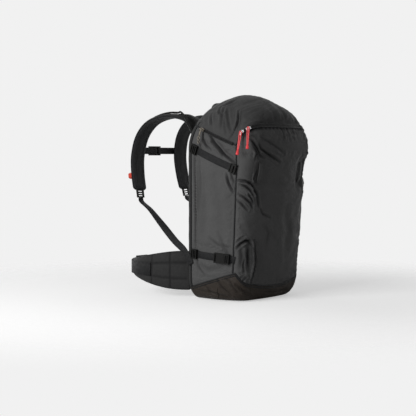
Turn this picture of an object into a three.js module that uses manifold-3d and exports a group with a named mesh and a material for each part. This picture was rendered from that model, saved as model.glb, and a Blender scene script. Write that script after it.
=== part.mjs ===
// Avalanche airbag backpack, a ski-touring pack of about 32 litres, as an assembly of separate pieces.
// Millimetres, +Z up. The pack stands on its flat base, centred on the origin.
// -Y is the face that points away from the wearer, +Y is the harness side, -X is the wearer's left.
import * as THREE from "three";
import { mergeVertices } from "three/addons/utils/BufferGeometryUtils.js";
import Module from "manifold-3d";

const wasm = await Module();
wasm.setup();

// ---------------------------------------------------------------- driving dimensions, mm
const WIDTH = 290; // body, side to side
const HEIGHT = 577; // base to the top of the dome
const DEPTH_TOP = 239; // front to back at the shoulder of the dome
const DEPTH_WAIST = 213; // front to back at mid height
const DEPTH_FOOT = 197; // front to back where the base starts to round under
const BACK_Y = 108; // plane of the back wall
const WALL = 3; // panel cloth with its foam and lining
const DOME_RISE = 152; // from where the walls start to lean in, up to the crown
const FOOT_RISE = 62; // height over which the base rounds under
const FOOT_SHARE = 0.74; // flat base, as a share of the full section
const HEEL_SHARE = 0.92; // the same at the back, which runs down almost straight
const WAIST_AT = 300; // from here up the front swings out to the lid
const FRONT_RADIUS = 36;
const BACK_RADIUS = 20;
const DOME_SOFTEN = 1.1; // how much wider the corners grow by the crown
const SIDE_CROWN = 8; // bulge of the stuffed side panels
const FRONT_CROWN = 9; // bulge of the stuffed front panel
const SEAM = 0.5; // gap left where two panels are sewn
const GAP = 0.4; // clearance between two pieces that touch
const LIFT = 0.95; // how far straps and zips stand off the curved panels

const STRAP_WEB = 20; // compression and load webbing
const BELT_WEB = 38; // hip belt webbing
const WEB_THICK = 1.8;
const PAD_THICK = 14; // shoulder strap foam and cover
const STRAP_WIDTH = 62; // shoulder strap at the yoke
const BACK_PAD_THICK = 14;
const BELT_THICK = 16; // hip wing foam and cover
const BELT_ROOT_HEIGHT = 108;
const BELT_TIP_HEIGHT = 40;
const ZIP_WIDTH = 12;
const ZIP_THICK = 2;
const CYLINDER_RADIUS = 30;
const HEAD_RISE = 126; // inflator head, valve and funnel
const HEAD_GRIP = 12.4; // how far the valve reaches down over the cylinder's neck
const CABLE = 6; // trigger cable housing, outer diameter

// Heights that follow from these.
const DOME_FROM = HEIGHT - DOME_RISE;
const SHELF_Z = DOME_FROM + 15; // floor of the airbag compartment
const YOKE_Z = HEIGHT - 145; // foot of the shoulder straps on the back pad
const CHEST_Z = YOKE_Z - 12; // sternum strap

// ---------------------------------------------------------------- colours
const finish = (color, roughness, metalness = 0) => (
  new THREE.MeshStandardMaterial({ color, roughness, metalness })
);
const SHELL = finish(0x434446, 0.75);
const SHELL_DARK = finish(0x2d2e30, 0.75);
const BASE_CLOTH = finish(0x3a3735, 0.7);
const MESH = finish(0x202122, 0.95);
const WEBBING = finish(0x1c1d1e, 0.8);
const ACETAL = finish(0x111213, 0.45);
const ZIP = finish(0x151617, 0.6);
const RED_CORD = finish(0xd9323a, 0.6);
const SILVER = finish(0xb9bcc0, 0.3, 1);
const ALLOY = finish(0x9ea3a8, 0.35, 1);
const SHEET = finish(0x2a2d30, 0.5);
const BAG_CLOTH = finish(0xc8452a, 0.7);
const HANDLE = finish(0xd2402c, 0.45);

// ---------------------------------------------------------------- small tools
const vec = (x, y, z) => new THREE.Vector3(x, y, z);
const lerp = (a, b, t) => a + (b - a) * t;
const clamp01 = (t) => Math.min(1, Math.max(0, t));
const smooth = (t) => clamp01(t) ** 2 * (3 - 2 * clamp01(t));

// A closed solid through rings of equal length, with a fan over each end ring, facing out.
function loft(rings) {
  const count = rings[0].length;
  const at = (ring, i) => ring * count + (i % count);
  const index = [];
  for (let r = 0; r + 1 < rings.length; r++) {
    for (let i = 0; i < count; i++) {
      index.push(at(r, i), at(r, i + 1), at(r + 1, i + 1), at(r, i), at(r + 1, i + 1), at(r + 1, i));
    }
  }
  const last = rings.length - 1;
  for (let i = 1; i + 1 < count; i++) {
    index.push(at(0, 0), at(0, i + 1), at(0, i), at(last, 0), at(last, i), at(last, i + 1));
  }
  const points = rings.flat();
  let volume = 0;
  for (let i = 0; i < index.length; i += 3) {
    const [a, b, c] = [points[index[i]], points[index[i + 1]], points[index[i + 2]]];
    volume += a.dot(b.clone().cross(c));
  }
  if (volume < 0) index.reverse();
  const geometry = new THREE.BufferGeometry().setFromPoints(points);
  geometry.setIndex(index);
  return geometry;
}

// A geometry as a manifold-3d solid, and back.
function solid(geometry) {
  const bare = geometry.clone();
  bare.deleteAttribute("normal");
  bare.deleteAttribute("uv");
  const merged = mergeVertices(bare, 1e-4);
  const triVerts = new Uint32Array(merged.index.array);
  return new wasm.Manifold(
    new wasm.Mesh({ numProp: 3, vertProperties: merged.attributes.position.array, triVerts }),
  );
}

function geometryOf(body) {
  const mesh = body.getMesh();
  const geometry = new THREE.BufferGeometry();
  const positions = new Float32Array(mesh.numVert * 3);
  for (let i = 0; i < mesh.numVert; i++) {
    positions.set(mesh.vertProperties.subarray(i * mesh.numProp, i * mesh.numProp + 3), i * 3);
  }
  geometry.setAttribute("position", new THREE.BufferAttribute(positions, 3));
  geometry.setIndex([...mesh.triVerts]);
  return geometry;
}

// A box from its lowest to its highest corner.
function block(low, high) {
  const size = high.clone().sub(low);
  const centre = high.clone().add(low).multiplyScalar(0.5);
  return new THREE.BoxGeometry(size.x, size.y, size.z).translate(centre.x, centre.y, centre.z);
}

// An outline [[a, b], ...] in a plane, pulled out along that plane's normal, centred on it.
function slab(outline, thick, axisA, axisB) {
  const shape = new THREE.Shape(outline.map(([a, b]) => new THREE.Vector2(a, b)));
  const geometry = new THREE.ExtrudeGeometry(shape, { depth: thick, bevelEnabled: false });
  geometry.translate(0, 0, -thick / 2);
  const normal = axisA.clone().cross(axisB);
  return geometry.applyMatrix4(new THREE.Matrix4().makeBasis(axisA, axisB, normal));
}

// Moves a piece made about the origin to a place where its X runs along `along` and its Z points to `out`.
function placed(geometry, origin, along, out) {
  const x = along.clone().normalize();
  const z = out.clone().addScaledVector(x, -out.dot(x)).normalize();
  const y = z.clone().cross(x);
  return geometry.clone().applyMatrix4(new THREE.Matrix4().makeBasis(x, y, z).setPosition(origin));
}

const X = vec(1, 0, 0);
const Y = vec(0, 1, 0);
const Z = vec(0, 0, 1);

// ---------------------------------------------------------------- the body's surface
// Depth of the stuffed body at a height: it leans out towards the top.
function depthAt(z) {
  const lower = lerp(DEPTH_FOOT, DEPTH_WAIST, clamp01((z - FOOT_RISE) / (WAIST_AT - FOOT_RISE)));
  return lerp(lower, DEPTH_TOP, clamp01((z - WAIST_AT) / (DOME_FROM - WAIST_AT)) ** 2);
}

// The horizontal section at a height, taken in by `inset` from the outer surface.
function section(z, inset) {
  const up = clamp01((z - DOME_FROM) / (HEIGHT - inset - DOME_FROM));
  const down = clamp01((FOOT_RISE - z) / (FOOT_RISE - inset));
  const [dome, foot] = [up, down].map((t) => Math.sqrt(1 - t * t));
  const share = dome * lerp(FOOT_SHARE, 1, foot);
  const half = (WIDTH / 2 - inset) * share;
  const front = (BACK_Y - depthAt(z) + inset) * share;
  const back = (BACK_Y - inset) * dome * lerp(HEEL_SHARE, 1, foot);
  const limit = 0.9 * Math.min(half, (back - front) / 2);
  const soften = 1 + DOME_SOFTEN * up * up; // corners open out towards the crown
  return {
    half,
    front,
    back,
    frontRadius: Math.min((FRONT_RADIUS - inset) * soften, limit),
    backRadius: Math.min((BACK_RADIUS - inset) * soften, limit),
    share,
  };
}

// A point of the body. `around` runs 0 to 8 round the section: 0-1 back, 1-2 back left corner, 2-3 left side,
// 3-4 front left corner, 4-5 front, 5-6 front right corner, 6-7 right side, 7-8 back right corner.
function bodyPoint(around, z, inset = 0) {
  const s = section(z, inset);
  const side = Math.floor(around) % 8;
  const t = around - Math.floor(around);
  const bulge = Math.sin(Math.PI * t) * s.share;
  const corner = (x, y, radius, from) => {
    const angle = from + (t * Math.PI) / 2;
    return vec(x + radius * Math.cos(angle), y + radius * Math.sin(angle), z);
  };
  const [rf, rb] = [s.frontRadius, s.backRadius];
  switch (side) {
    case 0:
      return vec(lerp(s.half - rb, rb - s.half, t), s.back, z);
    case 1:
      return corner(rb - s.half, s.back - rb, rb, Math.PI / 2);
    case 2:
      return vec(-s.half - SIDE_CROWN * bulge, lerp(s.back - rb, s.front + rf, t), z);
    case 3:
      return corner(rf - s.half, s.front + rf, rf, Math.PI);
    case 4:
      return vec(lerp(rf - s.half, s.half - rf, t), s.front - FRONT_CROWN * bulge, z);
    case 5:
      return corner(s.half - rf, s.front + rf, rf, 1.5 * Math.PI);
    case 6:
      return vec(s.half + SIDE_CROWN * bulge, lerp(s.front + rf, s.back - rb, t), z);
    default:
      return corner(s.half - rb, s.back - rb, rb, 0);
  }
}

function bodyNormal(around, z) {
  const step = 0.02;
  const across = bodyPoint(around + step, z).sub(bodyPoint(around - step + 8, z));
  const up = bodyPoint(around, z + 1).sub(bodyPoint(around, z - 1));
  return across.cross(up).normalize();
}

// The place on a side panel that lies at depth y, as `around`. side is -1 for the left, 1 for the right.
function sideAround(y, z, side) {
  const s = section(z, 0);
  const t = (s.back - s.backRadius - y) / (s.back - s.backRadius - s.front - s.frontRadius);
  return side < 0 ? 2 + t : 7 - t;
}

// The closed body, taken in by `inset`.
function bodySolid(inset) {
  const domeRise = HEIGHT - inset - DOME_FROM;
  const footRise = FOOT_RISE - inset;
  const heights = [0, 25, 50, 72].map((d) => inset + footRise * (1 - Math.cos((d * Math.PI) / 180)));
  heights.push(FOOT_RISE, lerp(FOOT_RISE, WAIST_AT, 0.45), WAIST_AT);
  heights.push(...[0.33, 0.67, 1].map((t) => lerp(WAIST_AT, DOME_FROM, t)));
  heights.push(...[14, 28, 42, 56, 70, 82].map((d) => DOME_FROM + domeRise * Math.sin((d * Math.PI) / 180)));
  const arounds = [];
  for (let side = 0; side < 8; side++) {
    for (let k = 0; k < 4; k++) arounds.push(side + k / 4);
  }
  return solid(loft(heights.map((z) => arounds.map((a) => bodyPoint(a, z, inset)))));
}

// ---------------------------------------------------------------- panels of the shell
// Seam lines as [y, z] points, the same on both sides of the pack.
const BACK_SEAM = [[BACK_Y - 14, 32], [BACK_Y - 14, DOME_FROM + 15], [BACK_Y - 34, HEIGHT - 61]];
const SIDE_SEAM_FOOT = [-68, 80]; // the base panel peaks here on each side
const SIDE_SEAM_HEAD = [-75, HEIGHT - 144]; // the side zip and the lid zip meet here
const LID_BACK = [BACK_Y + 30, HEIGHT - 65];
const LID_MIDDLE = [48, HEIGHT - 99];
const LID_CORNER = [-82, HEIGHT - 116]; // the main zip starts here
const LID_FRONT = [[-103, HEIGHT - 99], [-120, HEIGHT - 89]];
const LID_END = [-190, HEIGHT - 85];
const FOOT_FRONT = [-98, 34];

// A thin cut that runs straight through the pack along X, from one [y, z] point to another.
function seamCut(from, to) {
  const reach = 1; // past each end, so that cuts meet
  const length = Math.hypot(to[0] - from[0], to[1] - from[1]) + 2 * reach;
  const cut = new THREE.BoxGeometry(2 * WIDTH, length, SEAM);
  cut.rotateX(Math.atan2(to[1] - from[1], to[0] - from[0]));
  return solid(cut.translate(0, (from[0] + to[0]) / 2, (from[1] + to[1]) / 2));
}

function shellPanels() {
  const lines = [
    [[BACK_Y + 40, BACK_SEAM[0][1]], BACK_SEAM[0], SIDE_SEAM_FOOT, FOOT_FRONT, [-190, 30]],
    [LID_BACK, LID_MIDDLE, SIDE_SEAM_HEAD, LID_CORNER, ...LID_FRONT, LID_END],
    [SIDE_SEAM_FOOT, SIDE_SEAM_HEAD],
    BACK_SEAM,
  ];
  let wall = bodySolid(0).subtract(bodySolid(WALL));
  for (const line of lines) {
    for (let i = 0; i + 1 < line.length; i++) wall = wall.subtract(seamCut(line[i], line[i + 1]));
  }
  // The trigger cable passes the back wall in a grommet.
  const grommet = new THREE.CylinderGeometry(CABLE / 2 + 1.5, CABLE / 2 + 1.5, 30, 12);
  wall = wall.subtract(solid(grommet.translate(CABLE_EXIT.x, BACK_Y, CABLE_EXIT.z)));
  const pieces = wall.decompose().sort((a, b) => b.volume() - a.volume()).slice(0, 6);
  const found = {};
  for (const piece of pieces) {
    const { min, max } = piece.boundingBox();
    const middle = [0, 1, 2].map((i) => (min[i] + max[i]) / 2);
    if (max[0] < 0) found.side_panel_left = piece;
    else if (min[0] > 0) found.side_panel_right = piece;
    else if (max[2] > HEIGHT - 20) found.lid_panel = piece;
    else if (min[2] < 5) found.base_panel = piece;
    else if (middle[1] > 0) found.back_wall = piece;
    else found.front_panel = piece;
  }
  return found;
}

// ---------------------------------------------------------------- strips that follow the body
// Webbing or zip tape on the body, through { around, z } places, from `lift` off the surface outwards.
function bodyStrip(places, width, thick, lift = LIFT, step = 9) {
  const stops = [];
  for (let i = 0; i + 1 < places.length; i++) {
    const [a, b] = [places[i], places[i + 1]];
    const length = bodyPoint(a.around, a.z).distanceTo(bodyPoint(b.around, b.z));
    const count = Math.max(1, Math.round(length / step));
    for (let k = 0; k < count; k++) {
      stops.push({ around: lerp(a.around, b.around, k / count), z: lerp(a.z, b.z, k / count) });
    }
  }
  stops.push(places.at(-1));
  const points = stops.map((p) => bodyPoint(p.around, p.z, -lift));
  const rings = stops.map((p, i) => {
    const [before, after] = [points[Math.max(i - 1, 0)], points[Math.min(i + 1, points.length - 1)]];
    const along = after.clone().sub(before).normalize();
    const out = bodyNormal(p.around, p.z);
    const across = out.clone().cross(along).normalize();
    const half = across.multiplyScalar(width / 2);
    const corner = (w, t) => points[i].clone().addScaledVector(half, w).addScaledVector(out, t);
    return [corner(-1, 0), corner(1, 0), corner(1, thick), corner(-1, thick)];
  });
  return loft(rings);
}

// The frame of the body's surface at a place, for hardware that lies on it.
function seat(y, z, side, lift = LIFT) {
  const around = sideAround(y, z, side);
  return { point: bodyPoint(around, z, -lift), out: bodyNormal(around, z) };
}

// ---------------------------------------------------------------- ribbons that run free
// A flat or padded ribbon along a curve. across(t) is its width direction, size(t) its [width, thickness].
function ribbon(curve, count, across, size, chamfer = 0) {
  const rings = [];
  for (let i = 0; i <= count; i++) {
    const t = i / count;
    const centre = curve.getPointAt(t);
    const along = curve.getTangentAt(t);
    const side = across(t).clone().addScaledVector(along, -across(t).dot(along)).normalize();
    const out = along.clone().cross(side);
    const [width, thick] = size(t);
    const [w, h, c] = [width / 2, thick / 2, Math.min(chamfer, thick / 2 - 0.1)];
    const outline = chamfer
      ? [[-w, c - h], [c - w, -h], [w - c, -h], [w, c - h], [w, h - c], [w - c, h], [c - w, h], [-w, h - c]]
      : [[-w, -h], [w, -h], [w, h], [-w, h]];
    rings.push(outline.map(([a, b]) => centre.clone().addScaledVector(side, a).addScaledVector(out, b)));
  }
  return loft(rings);
}

const curveThrough = (points) => new THREE.CatmullRomCurve3(points, false, "centripetal");

// A curve that runs beside another, moved off its face by `distance`.
function beside(curve, from, to, across, distance, count = 14) {
  const points = [];
  for (let i = 0; i <= count; i++) {
    const t = lerp(from, to, i / count);
    const along = curve.getTangentAt(t);
    const side = across.clone().addScaledVector(along, -across.dot(along)).normalize();
    points.push(curve.getPointAt(t).addScaledVector(along.clone().cross(side), distance));
  }
  return points;
}

// A round cord or hose along a curve.
function tube(curve, diameter, steps, sides = 8) {
  const ring = new THREE.Shape().absarc(0, 0, diameter / 2, 0, 2 * Math.PI);
  const points = ring.getSpacedPoints(sides).slice(0, sides);
  const shape = new THREE.Shape(points);
  return new THREE.ExtrudeGeometry(shape, { steps, extrudePath: curve, bevelEnabled: false });
}

// ---------------------------------------------------------------- hardware, made about the origin
// Side-release buckle for a webbing width: X runs from the socket to the plug, Z points out.
function buckle(web) {
  const width = web + 8;
  const thick = 8;
  const socketLength = 0.85 * web + 14;
  const plugLength = 16;
  const tongue = 0.62 * web + 6;
  const slotWide = web + 1;
  const body = solid(block(vec(-socketLength, -width / 2, 0), vec(0, width / 2, thick)));
  const mouth = solid(block(vec(-tongue - 1, -width / 2 + 2.5, 2), vec(1, width / 2 - 2.5, thick - 2)));
  const slot = (from, to) => solid(block(vec(from, -slotWide / 2, -1), vec(to, slotWide / 2, thick + 1)));
  const barSlot = slot(3 - socketLength, 6.5 - socketLength);
  const base = solid(block(vec(GAP, -width / 2, 0), vec(plugLength, width / 2, thick)));
  const plugSlots = [4.5, 10].map((x) => slot(x, x + 2.6));
  const prong = (side) => {
    const [inner, outer] = [side * (width / 2 - 6.2), side * (width / 2 - 3)];
    const [low, high] = [Math.min(inner, outer), Math.max(inner, outer)];
    return solid(block(vec(-tongue, low, 2.5), vec(2, high, thick - 2.5)));
  };
  const guide = solid(block(vec(-tongue + 3, -2.5, 2.5), vec(2, 2.5, thick - 2.5)));
  return {
    socket: geometryOf(body.subtract(mouth).subtract(barSlot)),
    plug: geometryOf(plugSlots.reduce((a, b) => a.subtract(b), base).add(prong(-1)).add(prong(1)).add(guide)),
    socketLength,
    plugLength,
  };
}

// Ladder-lock adjuster: a frame with two bars, X along the webbing, Z out.
function ladderLock(web) {
  const [width, length, thick] = [web + 7, 24, 6];
  const frame = solid(block(vec(-length / 2, -width / 2, 0), vec(length / 2, width / 2, thick)));
  const reach = web / 2 + 0.5;
  const slots = [-8.5, -1.6, 5].map((x) => solid(block(vec(x, -reach, -1), vec(x + 3.6, reach, thick + 1))));
  return geometryOf(slots.reduce((a, b) => a.subtract(b), frame));
}

// Hook that takes the upper strap into the loop in the side seam. X runs away from its pivot bar.
function gateHook() {
  const plate = [[-4, -12], [4, -12], [6, -14], [16, -14], [16, 14], [6, 14], [4, 12], [-4, 12]];
  const body = solid(slab(plate, 5, X, Y).translate(0, 0, 2.5));
  const bar = solid(block(vec(-1.6, -10.5, -1), vec(1.6, 10.5, 6)));
  const catchSlot = solid(block(vec(7.5, -15, -1), vec(12, 9, 6)));
  return geometryOf(body.subtract(bar).subtract(catchSlot));
}

// Zip slider: a plate on the tape and a narrow bridge over an eye. X runs along the zip, Z out.
const BRIDGE_Z = 7.1; // centre of the bridge's bar
function zipSlider() {
  const plate = solid(block(vec(-7, -4.2, 0), vec(7, 4.2, 2.4)));
  const bridge = solid(block(vec(-5.2, -1, 2), vec(5.2, 1, BRIDGE_Z + 0.7)));
  const eye = solid(block(vec(-4, -5, 2.4), vec(4, 5, BRIDGE_Z - 0.7)));
  return geometryOf(bridge.subtract(eye).add(plate));
}

// Cord loop round a slider's bridge, hanging along -Y from its pivot on the X axis, with a moulded end.
const PULL_LENGTH = 66;
const PULL_CORD = 2.2;
function cordPull() {
  const bend = 2.9; // radius of the loop round the bar
  const apart = 1.3; // half the distance between the two legs in the moulded end
  const leg = (sign) => [
    vec(0, -8, sign * bend), vec(0, -22, sign * 1.7 - 1), vec(0, 15 - PULL_LENGTH, sign * apart - 1.4),
  ];
  const round = [80, 40, 0, -40, -80].map((d) => {
    const angle = (d * Math.PI) / 180;
    return vec(0, bend * Math.cos(angle), bend * Math.sin(angle));
  });
  const path = curveThrough([...leg(1).reverse(), ...round, ...leg(-1)]);
  const end = new THREE.CapsuleGeometry(3, 13, 3, 8).translate(0, 9.5 - PULL_LENGTH, -1.4);
  return geometryOf(solid(tube(path, PULL_CORD, 44, 6)).add(solid(end)));
}

// ---------------------------------------------------------------- the assembly
// A moving piece's userData holds its joint: a hinge's pivot and axis, a slide's axis, or its arc of travel.
const pack = new THREE.Group();
function add(name, geometry, material) {
  const mesh = new THREE.Mesh(geometry, material);
  mesh.name = name;
  pack.add(mesh);
  return mesh;
}
const SIDES = [["left", -1], ["right", 1]];

// ---- shoulder straps: over the shoulder and down the chest
const YOKE_Y = BACK_Y + BACK_PAD_THICK + 2 * GAP + PAD_THICK / 2; // centre of the strap on the back pad
const strapCurve = (side) =>
  curveThrough(
    [
      [56, 0.6, 0], [57, 1.4, 20], [59, 5, 43], [64, 25, 74], [71, 68, 88], [79, 115, 86], [86, 160, 68],
      [92, 192, 30], [97, 206, -27], [101, 202, -82], [104, 192, -127],
    ].map(([x, out, up]) => vec(side * x, YOKE_Y + out, YOKE_Z + up)),
  );
const strapSize = (t) => [lerp(STRAP_WIDTH, STRAP_WIDTH - 10, t), PAD_THICK];
const CABLE_EXIT = vec(-100, BACK_Y, YOKE_Z + 38);

for (const [name, side] of SIDES) {
  const curve = strapCurve(side);
  add("shoulder_strap_" + name, ribbon(curve, 22, () => X, strapSize, 3.5), SHELL_DARK);

  // Load lifter: from the head of the back wall down to the strap's top.
  const lifterOut = PAD_THICK / 2 + WEB_THICK / 2 + GAP;
  const lifterFoot = beside(curve, 0.23, 0.28, X.clone().negate(), lifterOut, 2);
  lifterFoot[0].z += 3;
  const lifterHead = vec(side * 62, BACK_Y + 2.5, HEIGHT - 80);
  const lifter = curveThrough([lifterHead, lifterHead.clone().add(vec(0, 11.5, 9)), ...lifterFoot]);
  add("load_lifter_" + name, ribbon(lifter, 10, () => X, () => [STRAP_WEB, WEB_THICK]), WEBBING);

  // Adjuster at the strap's end, and the webbing back to the foot of the pack, above the hip wing.
  const end = curve.getPointAt(1);
  const down = curve.getTangentAt(1);
  const strapFace = down.clone().cross(X).normalize();
  const lockAt = end.clone().addScaledVector(down, 12 + GAP).addScaledVector(strapFace, 3);
  const adjuster = placed(ladderLock(STRAP_WEB), lockAt, down, strapFace.clone().negate());
  add("strap_adjuster_" + name, adjuster, ACETAL);
  const webHead = lockAt.clone().addScaledVector(down, 12 + 2 * GAP).addScaledVector(strapFace, -3);
  const wall = side * (WIDTH / 2 + 3.5);
  const webFoot = [[wall - side, 4, 136], [wall, -12, 116], [wall, -22, 98]]
    .map(([x, y, z]) => vec(x, BACK_Y + y, z));
  const between = [0.22, 0.48, 0.8].map((t) => webHead.clone().lerp(webFoot[0], t).add(vec(0, 0, -6 * t)));
  const webbing = curveThrough([webHead, webHead.clone().addScaledVector(down, 9), ...between, ...webFoot]);
  const turned = vec(0, 0.75, -0.66).multiplyScalar(side);
  const twist = (t) => X.clone().multiplyScalar(1 - smooth(t)).addScaledVector(turned, smooth(t));
  add("strap_webbing_" + name, ribbon(webbing, 32, twist, () => [STRAP_WEB, WEB_THICK]), WEBBING);
}

// ---- back pad and frame sheet
const padHalf = [[90, 46], [98, 60], [98, 150], [90, YOKE_Z + 26], [78, YOKE_Z + 44]];
const padOutline = [...padHalf, ...padHalf.map(([x, z]) => [-x, z]).reverse()];
const back = solid(slab(padOutline, BACK_PAD_THICK, X, Z));
const channel = solid(block(vec(-14, -20, 120), vec(14, -BACK_PAD_THICK / 2 + 5, 440)));
const backPad = geometryOf(back.subtract(channel));
add("back_pad", backPad.translate(0, BACK_Y + GAP + BACK_PAD_THICK / 2, 0), MESH);

const SHEET_THICK = 3;
const sheetY = BACK_Y - WALL - GAP - SHEET_THICK / 2;
const sheetHead = SHELF_Z - 16;
const sheetHalf = [[108, 80], [108, sheetHead - 44], [84, sheetHead]];
const sheetOutline = [...sheetHalf, ...sheetHalf.map(([x, z]) => [-x, z]).reverse()];
add("frame_sheet", slab(sheetOutline, SHEET_THICK, X, Z).translate(0, sheetY, 0), SHEET);

// ---- airbag system: cylinder, inflator head with trigger lever, folded bag on its shelf
const CYLINDER_FOOT = 96;
const valveFoot = SHELF_Z - GAP - HEAD_RISE;
const cylinderTop = valveFoot + HEAD_GRIP;
const cylinderLength = cylinderTop - CYLINDER_FOOT;
const engineX = 26;
const engineY = sheetY - SHEET_THICK / 2 - GAP - CYLINDER_RADIUS;
const profile = (points) => {
  const outline = points.map(([r, z]) => new THREE.Vector2(r, z));
  return new THREE.LatheGeometry(outline, 20).rotateX(Math.PI / 2);
};

const neck = 11;
add(
  "air_cylinder",
  profile([
    [0, 0], [CYLINDER_RADIUS - 10, 0], [CYLINDER_RADIUS, 10], [CYLINDER_RADIUS, cylinderLength - 38],
    [CYLINDER_RADIUS - 9, cylinderLength - 20], [neck, cylinderLength - 13], [neck, cylinderLength],
    [0, cylinderLength],
  ]).translate(engineX, engineY, CYLINDER_FOOT),
  ALLOY,
);
const valveHeight = 46;
const valveBlock = solid(block(vec(-17, -17, 0), vec(17, 17, valveHeight)));
const boreDepth = 14 + GAP;
const bore = new THREE.CylinderGeometry(neck + GAP, neck + GAP, 2 * boreDepth, 20).rotateX(Math.PI / 2);
const valveBore = solid(bore);
const leverSlot = solid(block(vec(-30, -4.4, valveHeight - 14), vec(-6, 4.4, valveHeight + 1)));
const leverPin = solid(new THREE.CylinderGeometry(1.8, 1.8, 9.4, 10).translate(-13, 0, valveHeight - 6));
// The funnel over the valve draws in outside air and feeds the bag.
const funnel = solid(
  profile([
    [0, valveHeight - 4], [7, valveHeight - 4], [7, valveHeight + 14], [24, HEAD_RISE - 14], [24, HEAD_RISE],
    [0, HEAD_RISE],
  ]),
);
const head = geometryOf(valveBlock.subtract(valveBore).subtract(leverSlot).add(leverPin).add(funnel));
add("inflator_head", head.translate(engineX, engineY, valveFoot), ALLOY);
const LEVER_PIVOT = vec(engineX - 13, engineY, valveFoot + valveHeight - 6);
const leverOutline = [[-30, -3], [-4, -4.5], [2.8, -4.5], [2.8, 4], [-4, 4.5], [-30, 2]];
const leverBody = solid(slab(leverOutline, 8, X, Z));
const leverEye = solid(new THREE.CylinderGeometry(1.8 + GAP, 1.8 + GAP, 12, 10));
const lever = geometryOf(leverBody.subtract(leverEye)).translate(...LEVER_PIVOT.toArray());
add("trigger_lever", lever, HANDLE).userData.hinge = { pivot: LEVER_PIVOT.clone(), axis: Y };

const SHELF_THICK = 2.5;
const shelfGap = WALL + GAP;
const shelfRing = [];
for (let a = 0; a < 8; a += 0.25) shelfRing.push(bodyPoint(a, SHELF_Z, shelfGap + 2));
const shelf = loft([0, SHELF_THICK].map((h) => shelfRing.map((p) => p.clone().add(vec(0, 0, h)))));
const passHead = SHELF_Z + SHELF_THICK + 1;
const cablePass = block(vec(CABLE_EXIT.x, 60, SHELF_Z - 1), vec(CABLE_EXIT.x + 16, 92, passHead));
add("airbag_shelf", geometryOf(solid(shelf).subtract(solid(cablePass))), MESH);
// The folded bag fills the dome over the shelf, clear of the cable at its back left.
const bagFoot = SHELF_Z + SHELF_THICK + GAP;
const bagHeights = [bagFoot, SHELF_Z + 30, SHELF_Z + 60, SHELF_Z + 90, HEIGHT - 27];
const bagRings = bagHeights.map((z) => {
  const ring = [];
  for (let a = 0; a < 8; a += 0.5) {
    const p = bodyPoint(a, Math.max(z, bagFoot + 9), 14);
    ring.push(vec(p.x * 0.92, Math.min(p.y, BACK_Y - 42), z));
  }
  return ring;
});
add("airbag_folded", loft(bagRings), BAG_CLOTH);

// ---- trigger: handle on the left shoulder strap, its cable over the strap to the lever
const leftCurve = strapCurve(-1);
const HANDLE_AT = 0.9; // along the strap
const outside = X.clone().negate();
const cableOut = PAD_THICK / 2 + CABLE / 2 + 2 * GAP;
const overStrap = beside(leftCurve, 0.3, HANDLE_AT - 0.115, outside, cableOut, 10);
const leverTip = LEVER_PIVOT.clone().add(vec(-34, 0, 2));
const cableCurve = curveThrough([
  leverTip, leverTip.clone().add(vec(-22, 6, 14)), vec(-64, BACK_Y - 44, SHELF_Z - 26),
  vec(-92, BACK_Y - 32, SHELF_Z), vec(CABLE_EXIT.x, BACK_Y - 24, SHELF_Z + 16),
  vec(CABLE_EXIT.x, BACK_Y - 12, CABLE_EXIT.z), vec(CABLE_EXIT.x, BACK_Y + 8, CABLE_EXIT.z),
  vec(CABLE_EXIT.x - 1, BACK_Y + 24, CABLE_EXIT.z + 18),
  vec(CABLE_EXIT.x - 2, BACK_Y + 42, CABLE_EXIT.z + 50),
  vec(CABLE_EXIT.x + 10, BACK_Y + 66, CABLE_EXIT.z + 62), ...overStrap,
]);
add("trigger_cable", tube(cableCurve, CABLE, 72, 8), ACETAL);

const handleSeat = leftCurve.getPointAt(HANDLE_AT);
const handleDown = leftCurve.getTangentAt(HANDLE_AT);
const handleOut = handleDown.clone().cross(X).normalize().negate();
const gripOutline = [[-6, -20], [6, -20], [9, -14], [9, 14], [6, 20], [-6, 20], [-9, 14], [-9, -14]];
const grip = solid(slab(gripOutline, 13, X, Y));
const stem = solid(block(vec(-34, -8, -4.5), vec(-8, 8, 4.5)));
const handleOrigin = handleSeat.clone().addScaledVector(handleOut, PAD_THICK / 2 + GAP + 6.6);
const handle = placed(geometryOf(grip.add(stem)), handleOrigin, handleDown, handleOut);
add("trigger_handle", handle, HANDLE).userData.slide = { axis: handleDown };

// ---- sternum strap, buckled: the plug pulls out to the right
const chestFace = YOKE_Y + 205.7 + PAD_THICK / 2;
const chest = buckle(STRAP_WEB);
const chestAt = vec(0, chestFace + 2 * GAP + WEB_THICK, CHEST_Z);
add("sternum_socket", placed(chest.socket, chestAt, X, Y), ACETAL);
add("sternum_plug", placed(chest.plug, chestAt, X, Y), ACETAL);
for (const [name, side] of SIDES) {
  const web = new THREE.BoxGeometry(86, WEB_THICK, STRAP_WEB);
  add("sternum_webbing_" + name, web.translate(side * 46, chestFace + GAP + WEB_THICK / 2, CHEST_Z), WEBBING);
}

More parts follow.
